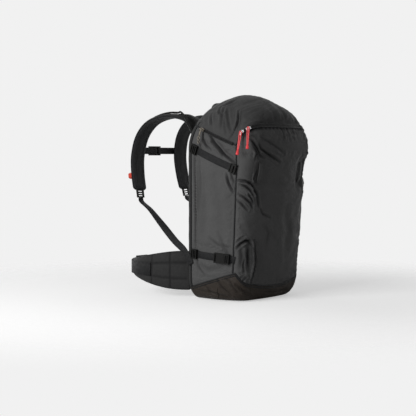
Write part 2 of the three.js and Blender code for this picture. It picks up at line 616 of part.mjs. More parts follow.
// ---- hip belt: two padded wings that swing on rounded roots against the foot of the back wall
const WING_Z = 76;
const wingRoot = (side) => vec(side * 112, BACK_Y + GAP + BELT_THICK / 2, WING_Z);
const wingCurve = (side) =>
  curveThrough([
    wingRoot(side), vec(side * 126, 142, WING_Z), vec(side * 147, 190, WING_Z),
    vec(side * 156, 240, WING_Z + 1), vec(side * 145, 292, WING_Z + 2),
    vec(side * 124, 325, WING_Z + 3), vec(side * 94, 345, WING_Z + 4),
  ]);
const wingSize = (t) => [lerp(BELT_ROOT_HEIGHT, BELT_TIP_HEIGHT, smooth(1.1 * t - 0.1)), BELT_THICK - 4 * t];
const belt = buckle(BELT_WEB);
const BELT_OPEN = 50; // the halves of the hip buckle rest this far from closed
const beltHalves = { left: belt.socket, right: belt.plug };
const beltReach = { left: belt.socketLength, right: belt.plugLength };
for (const [name, side] of SIDES) {
  const curve = wingCurve(side);
  const root = new THREE.CylinderGeometry(BELT_THICK / 2, BELT_THICK / 2, BELT_ROOT_HEIGHT - 8, 16);
  root.rotateX(Math.PI / 2).translate(...wingRoot(side).toArray());
  const wing = solid(ribbon(curve, 26, () => Z, wingSize, 4)).add(solid(root));
  add("hip_wing_" + name, geometryOf(wing), SHELL_DARK).userData.hinge = { pivot: wingRoot(side), axis: Z };
  const outer = beside(curve, 0.46, 1, vec(0, 0, side), BELT_THICK / 2 + WEB_THICK / 2 - 0.4, 14);
  const half = vec((side * BELT_OPEN) / 2, outer.at(-1).y + 8, outer.at(-1).z);
  const end = half.clone().add(vec(side * (beltReach[name] + 2 * GAP), 4, 0));
  const web = curveThrough([...outer, end.clone().lerp(outer.at(-1), 0.35).add(vec(0, 1.5, 0)), end]);
  add("hip_webbing_" + name, ribbon(web, 26, () => Z, () => [BELT_WEB, WEB_THICK]), WEBBING);
  add(name === "left" ? "hip_socket" : "hip_plug", placed(beltHalves[name], half, X, Y), ACETAL);
}

// ---- haul loop at the head of the back wall
const loopWidth = STRAP_WEB - 2;
const loopZ = HEIGHT - 57;
const loopY = bodyPoint(0.5, loopZ).y;
const loopHalf = [[38, -0.4, 0], [37.5, 1.4, 14], [27, 4, 29], [12, 5, 36]];
const haul = curveThrough([
  ...loopHalf.map(([x, y, z]) => vec(-x, loopY + loopWidth / 2 + y, loopZ + z)),
  ...loopHalf.map(([x, y, z]) => vec(x, loopY + loopWidth / 2 + y, loopZ + z)).reverse(),
]);
const LOOP_THICK = 3.4; // webbing folded over
add("haul_loop", ribbon(haul, 22, () => Y, () => [loopWidth, LOOP_THICK]), WEBBING).userData.hinge = {
  pivot: vec(0, loopY + loopWidth / 2, loopZ + 2), axis: X,
};

// ---- zips and their sliders
// A place on a seam line [[y, z], ...] where the section's outline stands at `around`.
function seamPlace(line, around) {
  const heightOf = (y) => {
    const i = line.findIndex(([lineY], k) => k > 0 && y >= lineY);
    const [a, b] = i < 0 ? line.slice(-2) : [line[i - 1], line[i]];
    return lerp(a[1], b[1], (y - a[0]) / (b[0] - a[0]));
  };
  let z = line[0][1];
  for (let k = 0; k < 30; k++) z = lerp(z, heightOf(bodyPoint(around, z).y), 0.6);
  return { around, z };
}

function seamRun(line, from, to, count) {
  return Array.from({ length: count + 1 }, (_, i) => seamPlace(line, lerp(from, to, i / count)));
}

// A slider on a zip at `around`, with its pull, and the arc that carries it to `reach`.
const sliderLift = LIFT + ZIP_THICK + 0.9; // the slider is flat and the tape is curved
function addSlider(line, around, reach, sliderName, pullName, pull, pullMaterial) {
  const poseAt = (a) => {
    const here = seamPlace(line, a);
    const [ahead, behind] = [seamPlace(line, a + 0.02), seamPlace(line, a - 0.02)];
    const along = bodyPoint(ahead.around, ahead.z).sub(bodyPoint(behind.around, behind.z));
    const point = bodyPoint(here.around, here.z, -sliderLift);
    return { point, along, out: bodyNormal(here.around, here.z) };
  };
  const pose = poseAt(around);
  const mesh = add(sliderName, placed(zipSlider(), pose.point, pose.along, pose.out), SILVER);
  const pivot = pose.point.clone().addScaledVector(pose.out, BRIDGE_Z);
  const level = Z.clone().cross(pose.out).normalize();
  add(pullName, placed(pull, pivot, level, pose.out), pullMaterial).userData.hinge = { pivot, axis: level };
  // The circle through the start, middle and end of the travel.
  const [a, b, c] = [pose.point, poseAt((around + reach) / 2).point, poseAt(reach).point];
  const [ab, ac] = [b.clone().sub(a), c.clone().sub(a)];
  const normal = ab.clone().cross(ac);
  const centre = normal.clone().cross(ab).multiplyScalar(ac.lengthSq())
    .add(ac.clone().cross(normal).multiplyScalar(ab.lengthSq()))
    .divideScalar(2 * normal.lengthSq()).add(a);
  const angle = a.clone().sub(centre).angleTo(c.clone().sub(centre));
  mesh.userData.arc = { centre, axis: normal.normalize(), angle };
}

const mirror = (around) => 9 - around;
const MAIN_SEAM = [LID_CORNER, ...LID_FRONT, LID_END];
const mainStart = sideAround(LID_CORNER[0], LID_CORNER[1], -1);
add("main_zip", bodyStrip(seamRun(MAIN_SEAM, mainStart, mirror(mainStart), 24), ZIP_WIDTH, ZIP_THICK), ZIP);
for (const [name, from, to] of [["rear", 0.11, 0.2], ["front", 0.4, 0.82]]) {
  const names = ["main_slider_" + name, "zip_pull_" + name];
  addSlider(MAIN_SEAM, mainStart + from, mainStart + to, ...names, cordPull(), RED_CORD);
}

const BAG_SEAM = [LID_MIDDLE, SIDE_SEAM_HEAD];
const bagStart = sideAround(LID_MIDDLE[0] + 14, LID_MIDDLE[1], -1);
const bagEnd = sideAround(SIDE_SEAM_HEAD[0] + 10, SIDE_SEAM_HEAD[1], -1);
add("airbag_zip", bodyStrip(seamRun(BAG_SEAM, bagStart, bagEnd, 10), ZIP_WIDTH - 3, ZIP_THICK), ZIP);
const tabPlate = solid(block(vec(-2.4, -26, -0.9), vec(2.4, -4.1, 0.9)));
const tabHole = solid(block(vec(-1.2, -24, -2), vec(1.2, -17, 2)));
const tabRing = solid(new THREE.TorusGeometry(3.2, 0.9, 6, 14).rotateY(Math.PI / 2).translate(0, -0.6, 0));
const tab = geometryOf(tabPlate.subtract(tabHole).add(tabRing));
addSlider(BAG_SEAM, bagStart + 0.1, bagStart + 0.42, "airbag_slider", "airbag_slider_tab", tab, SILVER);

// ---- compression straps on both sides
// Heights of the tool loops' ends, and their places round the body.
const TOOL_LOOP = { from: HEIGHT - 191, to: HEIGHT - 247, left: 4.06, right: 4.94 };
const UPPER_STRAP = { back: [84, HEIGHT - 149], front: [-60, HEIGHT - 205] };
const LOWER_STRAP = { back: [84, 130], front: [-84, 117] };
const hardwareLift = LIFT + WEB_THICK + GAP + 0.3;
const clip = buckle(STRAP_WEB);
for (const [name, side] of SIDES) {
  const spot = (line, t, lift = LIFT) => {
    const [y, z] = [lerp(line.back[0], line.front[0], t), lerp(line.back[1], line.front[1], t)];
    return { around: sideAround(y, z, side), z, ...seat(y, z, side, lift) };
  };
  const lengthOf = (line) => Math.hypot(line.front[0] - line.back[0], line.front[1] - line.back[1]);
  const run = (line, from, to) => {
    const along = spot(line, to).point.sub(spot(line, from).point);
    const places = Array.from({ length: 7 }, (_, i) => spot(line, lerp(from, to, i / 6)));
    return { along, strip: bodyStrip(places, STRAP_WEB, WEB_THICK) };
  };
  const onLine = (geometry, line, t) => {
    const here = spot(line, t, hardwareLift);
    const along = spot(line, t + 0.02, hardwareLift).point.sub(spot(line, t - 0.02, hardwareLift).point);
    return { mesh: placed(geometry, here.point, along, here.out), here, along };
  };
  const upperLength = lengthOf(UPPER_STRAP);
  add("upper_strap_" + name, run(UPPER_STRAP, 0, 1 - 4.6 / upperLength).strip, WEBBING);
  add("upper_lock_" + name, onLine(ladderLock(STRAP_WEB), UPPER_STRAP, 14 / upperLength).mesh, ACETAL);
  const hook = onLine(gateHook(), UPPER_STRAP, 1);
  const hookAxis = hook.here.out.clone().cross(hook.along).normalize();
  add("upper_hook_" + name, hook.mesh, ACETAL).userData.hinge = {
    pivot: hook.here.point.clone().addScaledVector(hook.here.out, 2.5), axis: hookAxis,
  };

  const lowerLength = lengthOf(LOWER_STRAP);
  const clipAt = 122 / lowerLength;
  add("lower_strap_" + name, run(LOWER_STRAP, 0, clipAt - 3 / lowerLength).strip, WEBBING);
  add("lower_tail_" + name, run(LOWER_STRAP, clipAt + 3 / lowerLength, 1).strip, WEBBING);
  add("lower_lock_" + name, onLine(ladderLock(STRAP_WEB), LOWER_STRAP, 14 / lowerLength).mesh, ACETAL);
  const clipSeat = onLine(clip.socket, LOWER_STRAP, clipAt);
  add("lower_socket_" + name, clipSeat.mesh, ACETAL);
  add("lower_plug_" + name, onLine(clip.plug, LOWER_STRAP, clipAt).mesh, ACETAL).userData.slide = {
    axis: clipSeat.along.clone().normalize(),
  };

  // Tool loop, sewn at both ends and standing off in the middle.
  const corner = TOOL_LOOP[name];
  const standOff = (t) => GAP + WEB_THICK / 2 + 5 * Math.sin(Math.PI * t) ** 0.7;
  const loopStops = Array.from({ length: 13 }, (_, i) => i / 12);
  const loopCurve = curveThrough(
    loopStops.map((t) => bodyPoint(corner, lerp(TOOL_LOOP.from, TOOL_LOOP.to, t), -standOff(t))),
  );
  const flat = bodyNormal(corner, TOOL_LOOP.from).cross(Z).normalize();
  add("tool_loop_" + name, ribbon(loopCurve, 14, () => flat, () => [12, WEB_THICK]), WEBBING);
}

// ---------------------------------------------------------------- the shell, then the frame of the whole
const shell = shellPanels();
const cloth = { lid_panel: SHELL_DARK, base_panel: BASE_CLOTH, back_wall: SHELL_DARK };
for (const [name, body] of Object.entries(shell)) add(name, geometryOf(body), cloth[name] ?? SHELL);

const box = new THREE.Box3().setFromObject(pack);
const shift = box.getCenter(vec(0, 0, 0)).setZ(box.min.z).negate();
for (const mesh of pack.children) {
  mesh.geometry.translate(shift.x, shift.y, shift.z);
  const moved = mesh.userData.hinge?.pivot ?? mesh.userData.arc?.centre;
  if (moved) moved.add(shift);
}

export default pack;
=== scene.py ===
"""Looks of a ski-touring avalanche airbag backpack: cloth, foam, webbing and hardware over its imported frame.

Lengths are millimetres in the pack's own axes: Z up from its base, -Y out through the front, -X to the wearer's
left. `PackForm.place` turns them into metres in the frame.
"""

import logging
import math
from collections.abc import Callable
from dataclasses import dataclass
from enum import Enum

import bpy
import numpy as np
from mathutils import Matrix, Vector


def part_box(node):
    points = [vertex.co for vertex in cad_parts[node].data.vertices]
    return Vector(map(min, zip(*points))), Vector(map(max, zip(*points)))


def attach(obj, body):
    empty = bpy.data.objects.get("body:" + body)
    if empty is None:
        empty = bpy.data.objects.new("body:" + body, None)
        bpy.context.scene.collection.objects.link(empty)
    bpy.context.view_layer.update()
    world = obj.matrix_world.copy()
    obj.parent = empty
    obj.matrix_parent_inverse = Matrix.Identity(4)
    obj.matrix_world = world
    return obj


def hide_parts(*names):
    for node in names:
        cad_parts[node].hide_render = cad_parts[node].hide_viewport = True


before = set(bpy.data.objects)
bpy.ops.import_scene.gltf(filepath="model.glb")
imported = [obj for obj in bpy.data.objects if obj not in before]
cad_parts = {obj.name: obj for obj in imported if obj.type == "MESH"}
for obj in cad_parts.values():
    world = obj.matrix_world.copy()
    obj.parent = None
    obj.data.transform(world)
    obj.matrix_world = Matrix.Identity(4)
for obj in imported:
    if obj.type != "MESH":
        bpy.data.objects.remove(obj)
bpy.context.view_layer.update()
LOG = logging.getLogger("backpack")
MM = 0.001
Array = np.ndarray
Amount = float | Array
Tree = bpy.types.NodeTree
Piece = bpy.types.Object


# ---------------------------------------------------------------- numbers
def lerp(a: Amount, b: Amount, t: Amount) -> Amount:
    """Goes from a to b as t goes from 0 to 1."""
    return a + (b - a) * t


def smooth(t: Amount) -> Amount:
    """Eases 0 to 1 with level ends."""
    t = np.clip(t, 0.0, 1.0)
    return t * t * (3.0 - 2.0 * t)


def unit(vectors: Array) -> Array:
    """Scales vectors to length 1."""
    return vectors / np.maximum(np.linalg.norm(vectors, axis=-1, keepdims=True), 1e-9)


def lengths(points: Array) -> Array:
    """Length along each row of points, from its first."""
    steps = np.linalg.norm(np.diff(points, axis=-2), axis=-1)
    return np.concatenate([np.zeros_like(steps[..., :1]), np.cumsum(steps, axis=-1)], axis=-1)


# ---------------------------------------------------------------- nodes
def linear(colour: str) -> tuple[float, float, float, float]:
    """Turns an sRGB hex colour into linear RGBA.

    Args:
        colour: six hex digits.

    Returns:
        The linear red, green and blue, and full opacity.
    """
    parts = [int(colour[i:i + 2], 16) / 255 for i in (0, 2, 4)]
    return (*[p / 12.92 if p <= 0.04045 else ((p + 0.055) / 1.055) ** 2.4 for p in parts], 1.0)


def fill(target: bpy.types.Node, inputs: dict) -> bpy.types.Node:
    """Sets or links a node's inputs, by name or index; a node stands for its first output.

    Args:
        target: the node.
        inputs: a value, a node or an output socket for each input, by name or index.

    Returns:
        The node.
    """
    for key, value in inputs.items():
        if isinstance(value, bpy.types.Node):
            value = value.outputs[0]
        if isinstance(value, bpy.types.NodeSocket):
            target.id_data.links.new(value, target.inputs[key])
        else:
            target.inputs[key].default_value = value
    return target


def add_node(tree: Tree, kind: str, inputs: dict | None = None, **settings: object) -> bpy.types.Node:
    """Adds a node with its settings and links.

    Args:
        tree: the node tree it goes in.
        kind: the node's type, without "ShaderNode".
        inputs: a value, a node or an output socket for each input, by name or index.
        **settings: the node's own properties.

    Returns:
        The new node.
    """
    made = tree.nodes.new("ShaderNode" + kind)
    for name, value in settings.items():
        setattr(made, name, value)
    return fill(made, inputs or {})


def start_material(name: str) -> tuple[bpy.types.Material, Tree, bpy.types.Node]:
    """Makes a material that holds only a shader.

    Args:
        name: the material's name.

    Returns:
        The material, its node tree and its shader.
    """
    material = bpy.data.materials.new(name)
    material.use_nodes = True
    tree = material.node_tree
    tree.nodes.clear()
    shader = add_node(tree, "BsdfPrincipled")
    add_node(tree, "OutputMaterial", {"Surface": shader})
    return material, tree, shader


def per_pitch(pitch: float) -> float:
    """Wave texture scale that puts one band on each pitch in mm."""
    return 2 * math.pi / 20 / (pitch * MM)


def per_size(size: float) -> float:
    """Noise or cell texture scale that makes blotches or cells of a size in mm."""
    return 1 / (size * MM)


def ranged(value: bpy.types.Node, low: float, high: float) -> dict:
    """Inputs of a range node that spreads a noise's usual values from low to high."""
    return {"Value": value, "From Min": 0.3, "From Max": 0.7, "To Min": low, "To Max": high}


class Grain(Enum):
    """Where a finish takes its pattern's coordinates from, in metres."""

    CUT = "UV"  # along the cut cloth
    SOLID = "Object"  # through the solid


# ---------------------------------------------------------------- finishes
@dataclass(frozen=True)
class WovenNylon:
    """Pack cloth: plain-woven nylon, coated on its back, dull and slightly mottled."""

    name: str
    colour: str
    light: str
    yarn: float = 2.2
    roughness: float = 0.62
    grain: Grain = Grain.CUT

    def material(self) -> bpy.types.Material:
        """Builds the cloth.

        Returns:
            The finished material.
        """
        material, tree, shader = start_material(self.name)
        place = add_node(tree, "TexCoord").outputs[self.grain.value]
        # Dye and coating vary over a hand's breadth and from yarn to yarn, so the cloth is never one flat grey.
        dye = add_node(tree, "TexNoise", {"Vector": place, "Scale": per_size(60), "Detail": 3.0})
        slub = add_node(tree, "TexNoise", {"Vector": place, "Scale": per_size(3), "Detail": 2.0})
        colours = {0: dye, 6: linear(self.colour), 7: linear(self.light)}
        broad = add_node(tree, "Mix", colours, data_type="RGBA").outputs[2]
        fine = add_node(tree, "MapRange", ranged(slub, 0.0, 0.4))
        hue = add_node(tree, "Mix", {0: fine, 6: broad, 7: linear(self.light)}, data_type="RGBA").outputs[2]
        # The depth of a fold and the ditch of a seam hold shade.
        fold = add_node(tree, "Attribute", attribute_name="fold").outputs[2]
        shade = add_node(tree, "Mix", {0: fold, 6: hue, 7: linear("08080a")}, data_type="RGBA").outputs[2]
        # Warp and weft as crossed ribs, drawn coarser than the 0.4 mm yarns so that they show.
        step = {"Vector": place, "Scale": per_pitch(self.yarn)}
        warp = add_node(tree, "TexWave", step, bands_direction="X")
        weft = add_node(tree, "TexWave", step, bands_direction="Y")
        weave = add_node(tree, "Math", {0: warp.outputs[1], 1: weft.outputs[1]}, operation="MULTIPLY")
        woven = add_node(tree, "Bump", {"Height": weave, "Strength": 0.25, "Distance": 0.25 * MM})
        # Shallow dents a finger wide, as stuffed cloth has, break up the highlights.
        crumple = {"Vector": place, "Scale": per_size(30), "Detail": 4.0, "Distortion": 1.6}
        dents = add_node(tree, "TexNoise", crumple)
        relief = {"Height": dents, "Strength": 0.45, "Distance": 3.5 * MM, "Normal": woven}
        wear = add_node(tree, "TexNoise", {"Vector": place, "Scale": per_size(8), "Detail": 2.0})
        fill(shader, {
            "Base Color": shade,
            "Roughness": add_node(tree, "MapRange", ranged(wear, self.roughness - 0.06, self.roughness + 0.1)),
            "IOR": 1.53,
            "Specular IOR Level": 0.09,
            "Sheen Weight": 0.05,
            "Sheen Roughness": 0.4,
            "Normal": add_node(tree, "Bump", relief),
        })
        return material


@dataclass(frozen=True)
class SpacerKnit:
    """Knitted polyester spacer mesh: open round cells over dark padding, with painted shade in the holes, fully matt.
    """

    name: str
    colour: str
    cell: float = 3.4

    def material(self) -> bpy.types.Material:
        """Builds the mesh.

        Returns:
            The finished material.
        """
        material, tree, shader = start_material(self.name)
        place = add_node(tree, "TexCoord").outputs["UV"]
        spots = {"Vector": place, "Scale": per_size(self.cell), "Randomness": 0.18}
        cells = add_node(tree, "TexVoronoi", spots)
        # A cell's rim is knitted yarn and its middle is a hole down to the padding; the near-black there is the dark
        # padding together with painted shade in the hole.
        rim = add_node(tree, "MapRange", {"Value": cells, "From Min": 0.18, "From Max": 0.42})
        hue = add_node(
            tree, "Mix", {0: rim, 6: linear("070708"), 7: linear(self.colour)}, data_type="RGBA",
        ).outputs[2]
        # Painted shade: the fold attribute darkens the quilted channels towards near-black.
        fold = add_node(tree, "Attribute", attribute_name="fold").outputs[2]
        yarn = add_node(tree, "TexNoise", {"Vector": place, "Scale": per_size(2), "Detail": 2.0})
        fill(shader, {
            "Base Color": add_node(
                tree, "Mix", {0: fold, 6: hue, 7: linear("050506")}, data_type="RGBA",
            ).outputs[2],
            "Roughness": add_node(tree, "MapRange", ranged(yarn, 0.85, 1.0)),
            "Sheen Weight": 0.12,
            "Normal": add_node(tree, "Bump", {"Height": rim, "Strength": 0.8, "Distance": 0.8 * MM}),
        })
        return material


@dataclass(frozen=True)
class RibbedWebbing:
    """Woven polyamide webbing: cross ribs between long warp cords, with a faint dry shine."""

    name: str
    colour: str
    light: str

    def material(self) -> bpy.types.Material:
        """Builds the webbing.

        Returns:
            The finished material.
        """
        material, tree, shader = start_material(self.name)
        place = add_node(tree, "TexCoord").outputs["UV"]
        # Ribs are 1.2 mm apart, drawn at 1.6, and the cords 2.5 mm.
        across = add_node(tree, "TexWave", {"Vector": place, "Scale": per_pitch(1.6)}, bands_direction="Y")
        along = add_node(tree, "TexWave", {"Vector": place, "Scale": per_pitch(2.5)}, bands_direction="X")
        weave = add_node(tree, "Math", {0: across.outputs[1], 1: along.outputs[1]}, operation="MULTIPLY")
        fuzz = add_node(tree, "TexNoise", {"Vector": place, "Scale": per_size(9), "Detail": 3.0})
        worn = add_node(tree, "MapRange", ranged(fuzz, 0.0, 0.8))
        hue = add_node(
            tree, "Mix", {0: worn, 6: linear(self.colour), 7: linear(self.light)}, data_type="RGBA",
        ).outputs[2]
        # Painted shade: the grooves between the ribs and cords are darkened towards near-black in the colour.
        fill(shader, {
            "Base Color": add_node(
                tree, "Mix", {0: weave, 6: linear("0b0b0c"), 7: hue}, data_type="RGBA",
            ).outputs[2],
            "Roughness": add_node(tree, "MapRange", ranged(fuzz, 0.6, 0.8)),
            "IOR": 1.53,
            "Specular IOR Level": 0.22,
            "Sheen Weight": 0.04,
            "Normal": add_node(tree, "Bump", {"Height": weave, "Strength": 0.7, "Distance": 0.4 * MM}),
        })
        return material


@dataclass(frozen=True)
class MouldedPolymer:
    """Injection-moulded plastic or elastomer: satin, with a fine spark-eroded grain that handling polishes."""

    name: str
    colour: str
    light: str
    roughness: float = 0.38
    ior: float = 1.48
    specular: float = 0.35

    def material(self) -> bpy.types.Material:
        """Builds the moulding.

        Returns:
            The finished material.
        """
        material, tree, shader = start_material(self.name)
        place = add_node(tree, "TexCoord").outputs["Object"]
        # The spark grain is 0.3 mm, drawn at 0.9 so that it shows.
        grain = add_node(tree, "TexNoise", {"Vector": place, "Scale": per_size(0.9), "Detail": 2.0})
        rub = add_node(tree, "TexNoise", {"Vector": place, "Scale": per_size(14), "Detail": 3.0})
        fill(shader, {
            "Base Color": add_node(
                tree, "Mix", {0: rub, 6: linear(self.colour), 7: linear(self.light)}, data_type="RGBA",
            ).outputs[2],
            "Roughness": add_node(tree, "MapRange", ranged(rub, self.roughness - 0.08, self.roughness + 0.1)),
            "IOR": self.ior,
            "Specular IOR Level": self.specular,
            "Normal": add_node(tree, "Bump", {"Height": grain, "Strength": 0.25, "Distance": 0.12 * MM}),
        })
        return material


@dataclass(frozen=True)
class WorkedMetal:
    """Plated die-cast zinc or spun aluminium: soft metal grey with the fine lines its making leaves."""

    name: str
    colour: str
    stain: str
    roughness: float = 0.26
    line: float = 0.9

    def material(self) -> bpy.types.Material:
        """Builds the metal.

        Returns:
            The finished material.
        """
        material, tree, shader = start_material(self.name)
        place = add_node(tree, "TexCoord").outputs["Object"]
        lines = add_node(tree, "TexWave", {"Vector": place, "Scale": per_pitch(self.line)}, bands_direction="Z")
        rub = add_node(tree, "TexNoise", {"Vector": place, "Scale": per_size(6), "Detail": 4.0})
        fill(shader, {
            "Base Color": add_node(
                tree, "Mix", {0: rub, 6: linear(self.colour), 7: linear(self.stain)}, data_type="RGBA",
            ).outputs[2],
            "Metallic": 1.0,
            "Roughness": add_node(tree, "MapRange", ranged(rub, self.roughness - 0.06, self.roughness + 0.14)),
            "Normal": add_node(tree, "Bump", {"Height": lines.outputs[1], "Strength": 0.15, "Distance": 0.1 * MM}),
        })
        return material


@dataclass(frozen=True)
class BraidedCord:
    """Braided polyester cord: a crossed pattern of small plaits, dyed right through."""

    name: str
    colour: str
    light: str

    def material(self) -> bpy.types.Material:
        """Builds the cord.

        Returns:
            The finished material.
        """
        material, tree, shader = start_material(self.name)
        place = add_node(tree, "TexCoord").outputs["Object"]
        turned = add_node(tree, "Mapping", {"Vector": place, "Scale": (-1.0, -1.0, 1.0)})
        # One ply slants each way round the cord, 1.5 mm from plait to plait.
        pitch = per_pitch(1.5)
        one = add_node(tree, "TexWave", {"Vector": place, "Scale": pitch}, bands_direction="DIAGONAL")
        other = add_node(tree, "TexWave", {"Vector": turned, "Scale": pitch}, bands_direction="DIAGONAL")
        braid = add_node(tree, "Math", {0: one.outputs[1], 1: other.outputs[1]}, operation="MAXIMUM")
        wear = add_node(tree, "TexNoise", {"Vector": place, "Scale": per_size(4), "Detail": 2.0})
        # Painted highlight and shade: the plaits' crests take the lighter colour and the grooves between them the
        # darker one.
        fill(shader, {
            "Base Color": add_node(
                tree, "Mix", {0: braid, 6: linear(self.colour), 7: linear(self.light)}, data_type="RGBA",
            ).outputs[2],
            "Roughness": add_node(tree, "MapRange", ranged(wear, 0.5, 0.7)),
            "Sheen Weight": 0.15,
            "Normal": add_node(tree, "Bump", {"Height": braid, "Strength": 0.5, "Distance": 0.3 * MM}),
        })
        return material


@dataclass(frozen=True)
class FilmTape:
    """Zip tape laminated with polyurethane film: smooth, dark and a little glossier than the cloth."""

    name: str
    colour: str
    light: str

    def material(self) -> bpy.types.Material:
        """Builds the tape.

        Returns:
            The finished material.
        """
        material, tree, shader = start_material(self.name)
        place = add_node(tree, "TexCoord").outputs["UV"]
        # The coil's teeth, 1.5 mm apart, print through the film.
        coil = add_node(tree, "TexWave", {"Vector": place, "Scale": per_pitch(1.5)}, bands_direction="Y")
        haze = add_node(tree, "TexNoise", {"Vector": place, "Scale": per_size(12), "Detail": 3.0})
        fill(shader, {
            "Base Color": add_node(
                tree, "Mix", {0: haze, 6: linear(self.colour), 7: linear(self.light)}, data_type="RGBA",
            ).outputs[2],
            "Roughness": add_node(tree, "MapRange", ranged(haze, 0.55, 0.7)),
            "IOR": 1.5,
            "Specular IOR Level": 0.15,
            "Normal": add_node(tree, "Bump", {"Height": coil.outputs[1], "Strength": 0.35, "Distance": 0.25 * MM}),
        })
        return material


@dataclass(frozen=True)
class FloorPaper:
    """Seamless pale paper that fades into the background away from the pack."""

    name: str
    colour: str
    clear: float
    gone: float
    lift: float = 0.5

    def material(self) -> bpy.types.Material:
        """Builds the paper.

        Returns:
            The finished material.
        """
        material, tree, shader = start_material(self.name)
        place = add_node(tree, "TexCoord").outputs["Object"]
        distance = add_node(tree, "VectorMath", {0: place}, operation="LENGTH").outputs["Value"]
        edge = {"Value": distance, "From Min": self.clear, "From Max": self.gone}
        fade = add_node(tree, "MapRange", edge, interpolation_type="SMOOTHSTEP")
        fibres = add_node(tree, "TexNoise", {"Vector": place, "Scale": per_size(4), "Detail": 3.0})
        fill(shader, {
            "Base Color": add_node(
                tree, "Mix", {0: fibres, 6: linear(self.colour), 7: linear("f6f6f6")}, data_type="RGBA",
            ).outputs[2],
            "Roughness": 0.9,
            "Specular IOR Level": 0.0,
        })
        # The paper is overexposed in the studio, so the camera sees it a little brighter than it lights the pack.
        rays = add_node(tree, "LightPath").outputs["Is Camera Ray"]
        lift = add_node(tree, "Math", {0: rays, 1: self.lift}, operation="MULTIPLY")
        fill(shader, {"Emission Color": linear("f6f6f6"), "Emission Strength": lift})
        clear = add_node(tree, "BsdfTransparent")
        both = add_node(tree, "MixShader", {0: fade, 1: shader, 2: clear})
        output = next(n for n in tree.nodes if n.bl_idname == "ShaderNodeOutputMaterial")
        fill(output, {"Surface": both})
        return material


@dataclass
class Wardrobe:
    """The finishes of the pack, each built once."""

    shell: bpy.types.Material
    lid: bpy.types.Material
    base: bpy.types.Material
    pad: bpy.types.Material
    piping: bpy.types.Material
    mesh: bpy.types.Material
    webbing: bpy.types.Material
    acetal: bpy.types.Material
    tape: bpy.types.Material
    zinc: bpy.types.Material
    bronze: bpy.types.Material
    cord: bpy.types.Material
    grip: bpy.types.Material
    trigger: bpy.types.Material
    alloy: bpy.types.Material
    sheet: bpy.types.Material
    airbag: bpy.types.Material
    thread: bpy.types.Material

    @classmethod
    def sewn(cls) -> "Wardrobe":
        """Builds every finish.

        Returns:
            The finishes.
        """
        return cls(
            shell=WovenNylon("shell_nylon_plain_woven", "464646", "565656").material(),
            lid=WovenNylon("lid_nylon_plain_woven", "3a3a3a", "484848").material(),
            base=WovenNylon("base_nylon_coated_woven", "2c2824", "3d3732", roughness=0.55).material(),
            pad=WovenNylon("harness_nylon_woven", "292929", "373737", roughness=0.7).material(),
            piping=WovenNylon("piping_nylon_tape", "18191a", "262728", yarn=1.2, roughness=0.5).material(),
            mesh=SpacerKnit("spacer_polyester_knit", "232426").material(),
            webbing=RibbedWebbing("webbing_polyamide_woven", "161719", "222325").material(),
            acetal=MouldedPolymer("acetal_injection_moulded", "0d0d0c", "171716", 0.5, 1.48, 0.12).material(),
            tape=FilmTape("zip_tape_polyurethane_film", "0b0b0b", "151515").material(),
            zinc=WorkedMetal("zinc_die_cast_nickel_plated", "dadadc", "a9a8a6").material(),
            bronze=WorkedMetal("zinc_die_cast_bronze_plated", "8f887d", "6a645b", 0.36).material(),
            cord=BraidedCord("cord_polyester_braided", "e8323a", "ff686c").material(),
            grip=MouldedPolymer("pull_elastomer_moulded", "e8393f", "fa575c", 0.46, 1.5).material(),
            trigger=MouldedPolymer("trigger_polyamide_moulded", "bd3120", "d4452c", 0.38, 1.53).material(),
            alloy=WorkedMetal("cylinder_aluminium_spun", "b0b3b7", "8a8e93", 0.32, 1.2).material(),
            sheet=MouldedPolymer("frame_polyethylene_extruded", "222427", "303236", 0.48, 1.54).material(),
            airbag=WovenNylon("airbag_nylon_woven", "b5391f", "d4512c").material(),
            thread=MouldedPolymer("thread_polyamide_bonded", "2c2d2f", "3d3e40", 0.6, 1.53).material(),
        )


# ---------------------------------------------------------------- the pack's form
Line = tuple[tuple[float, float], ...]
PLACES = np.linspace(-1, 9, 1001)
ROUND = 8


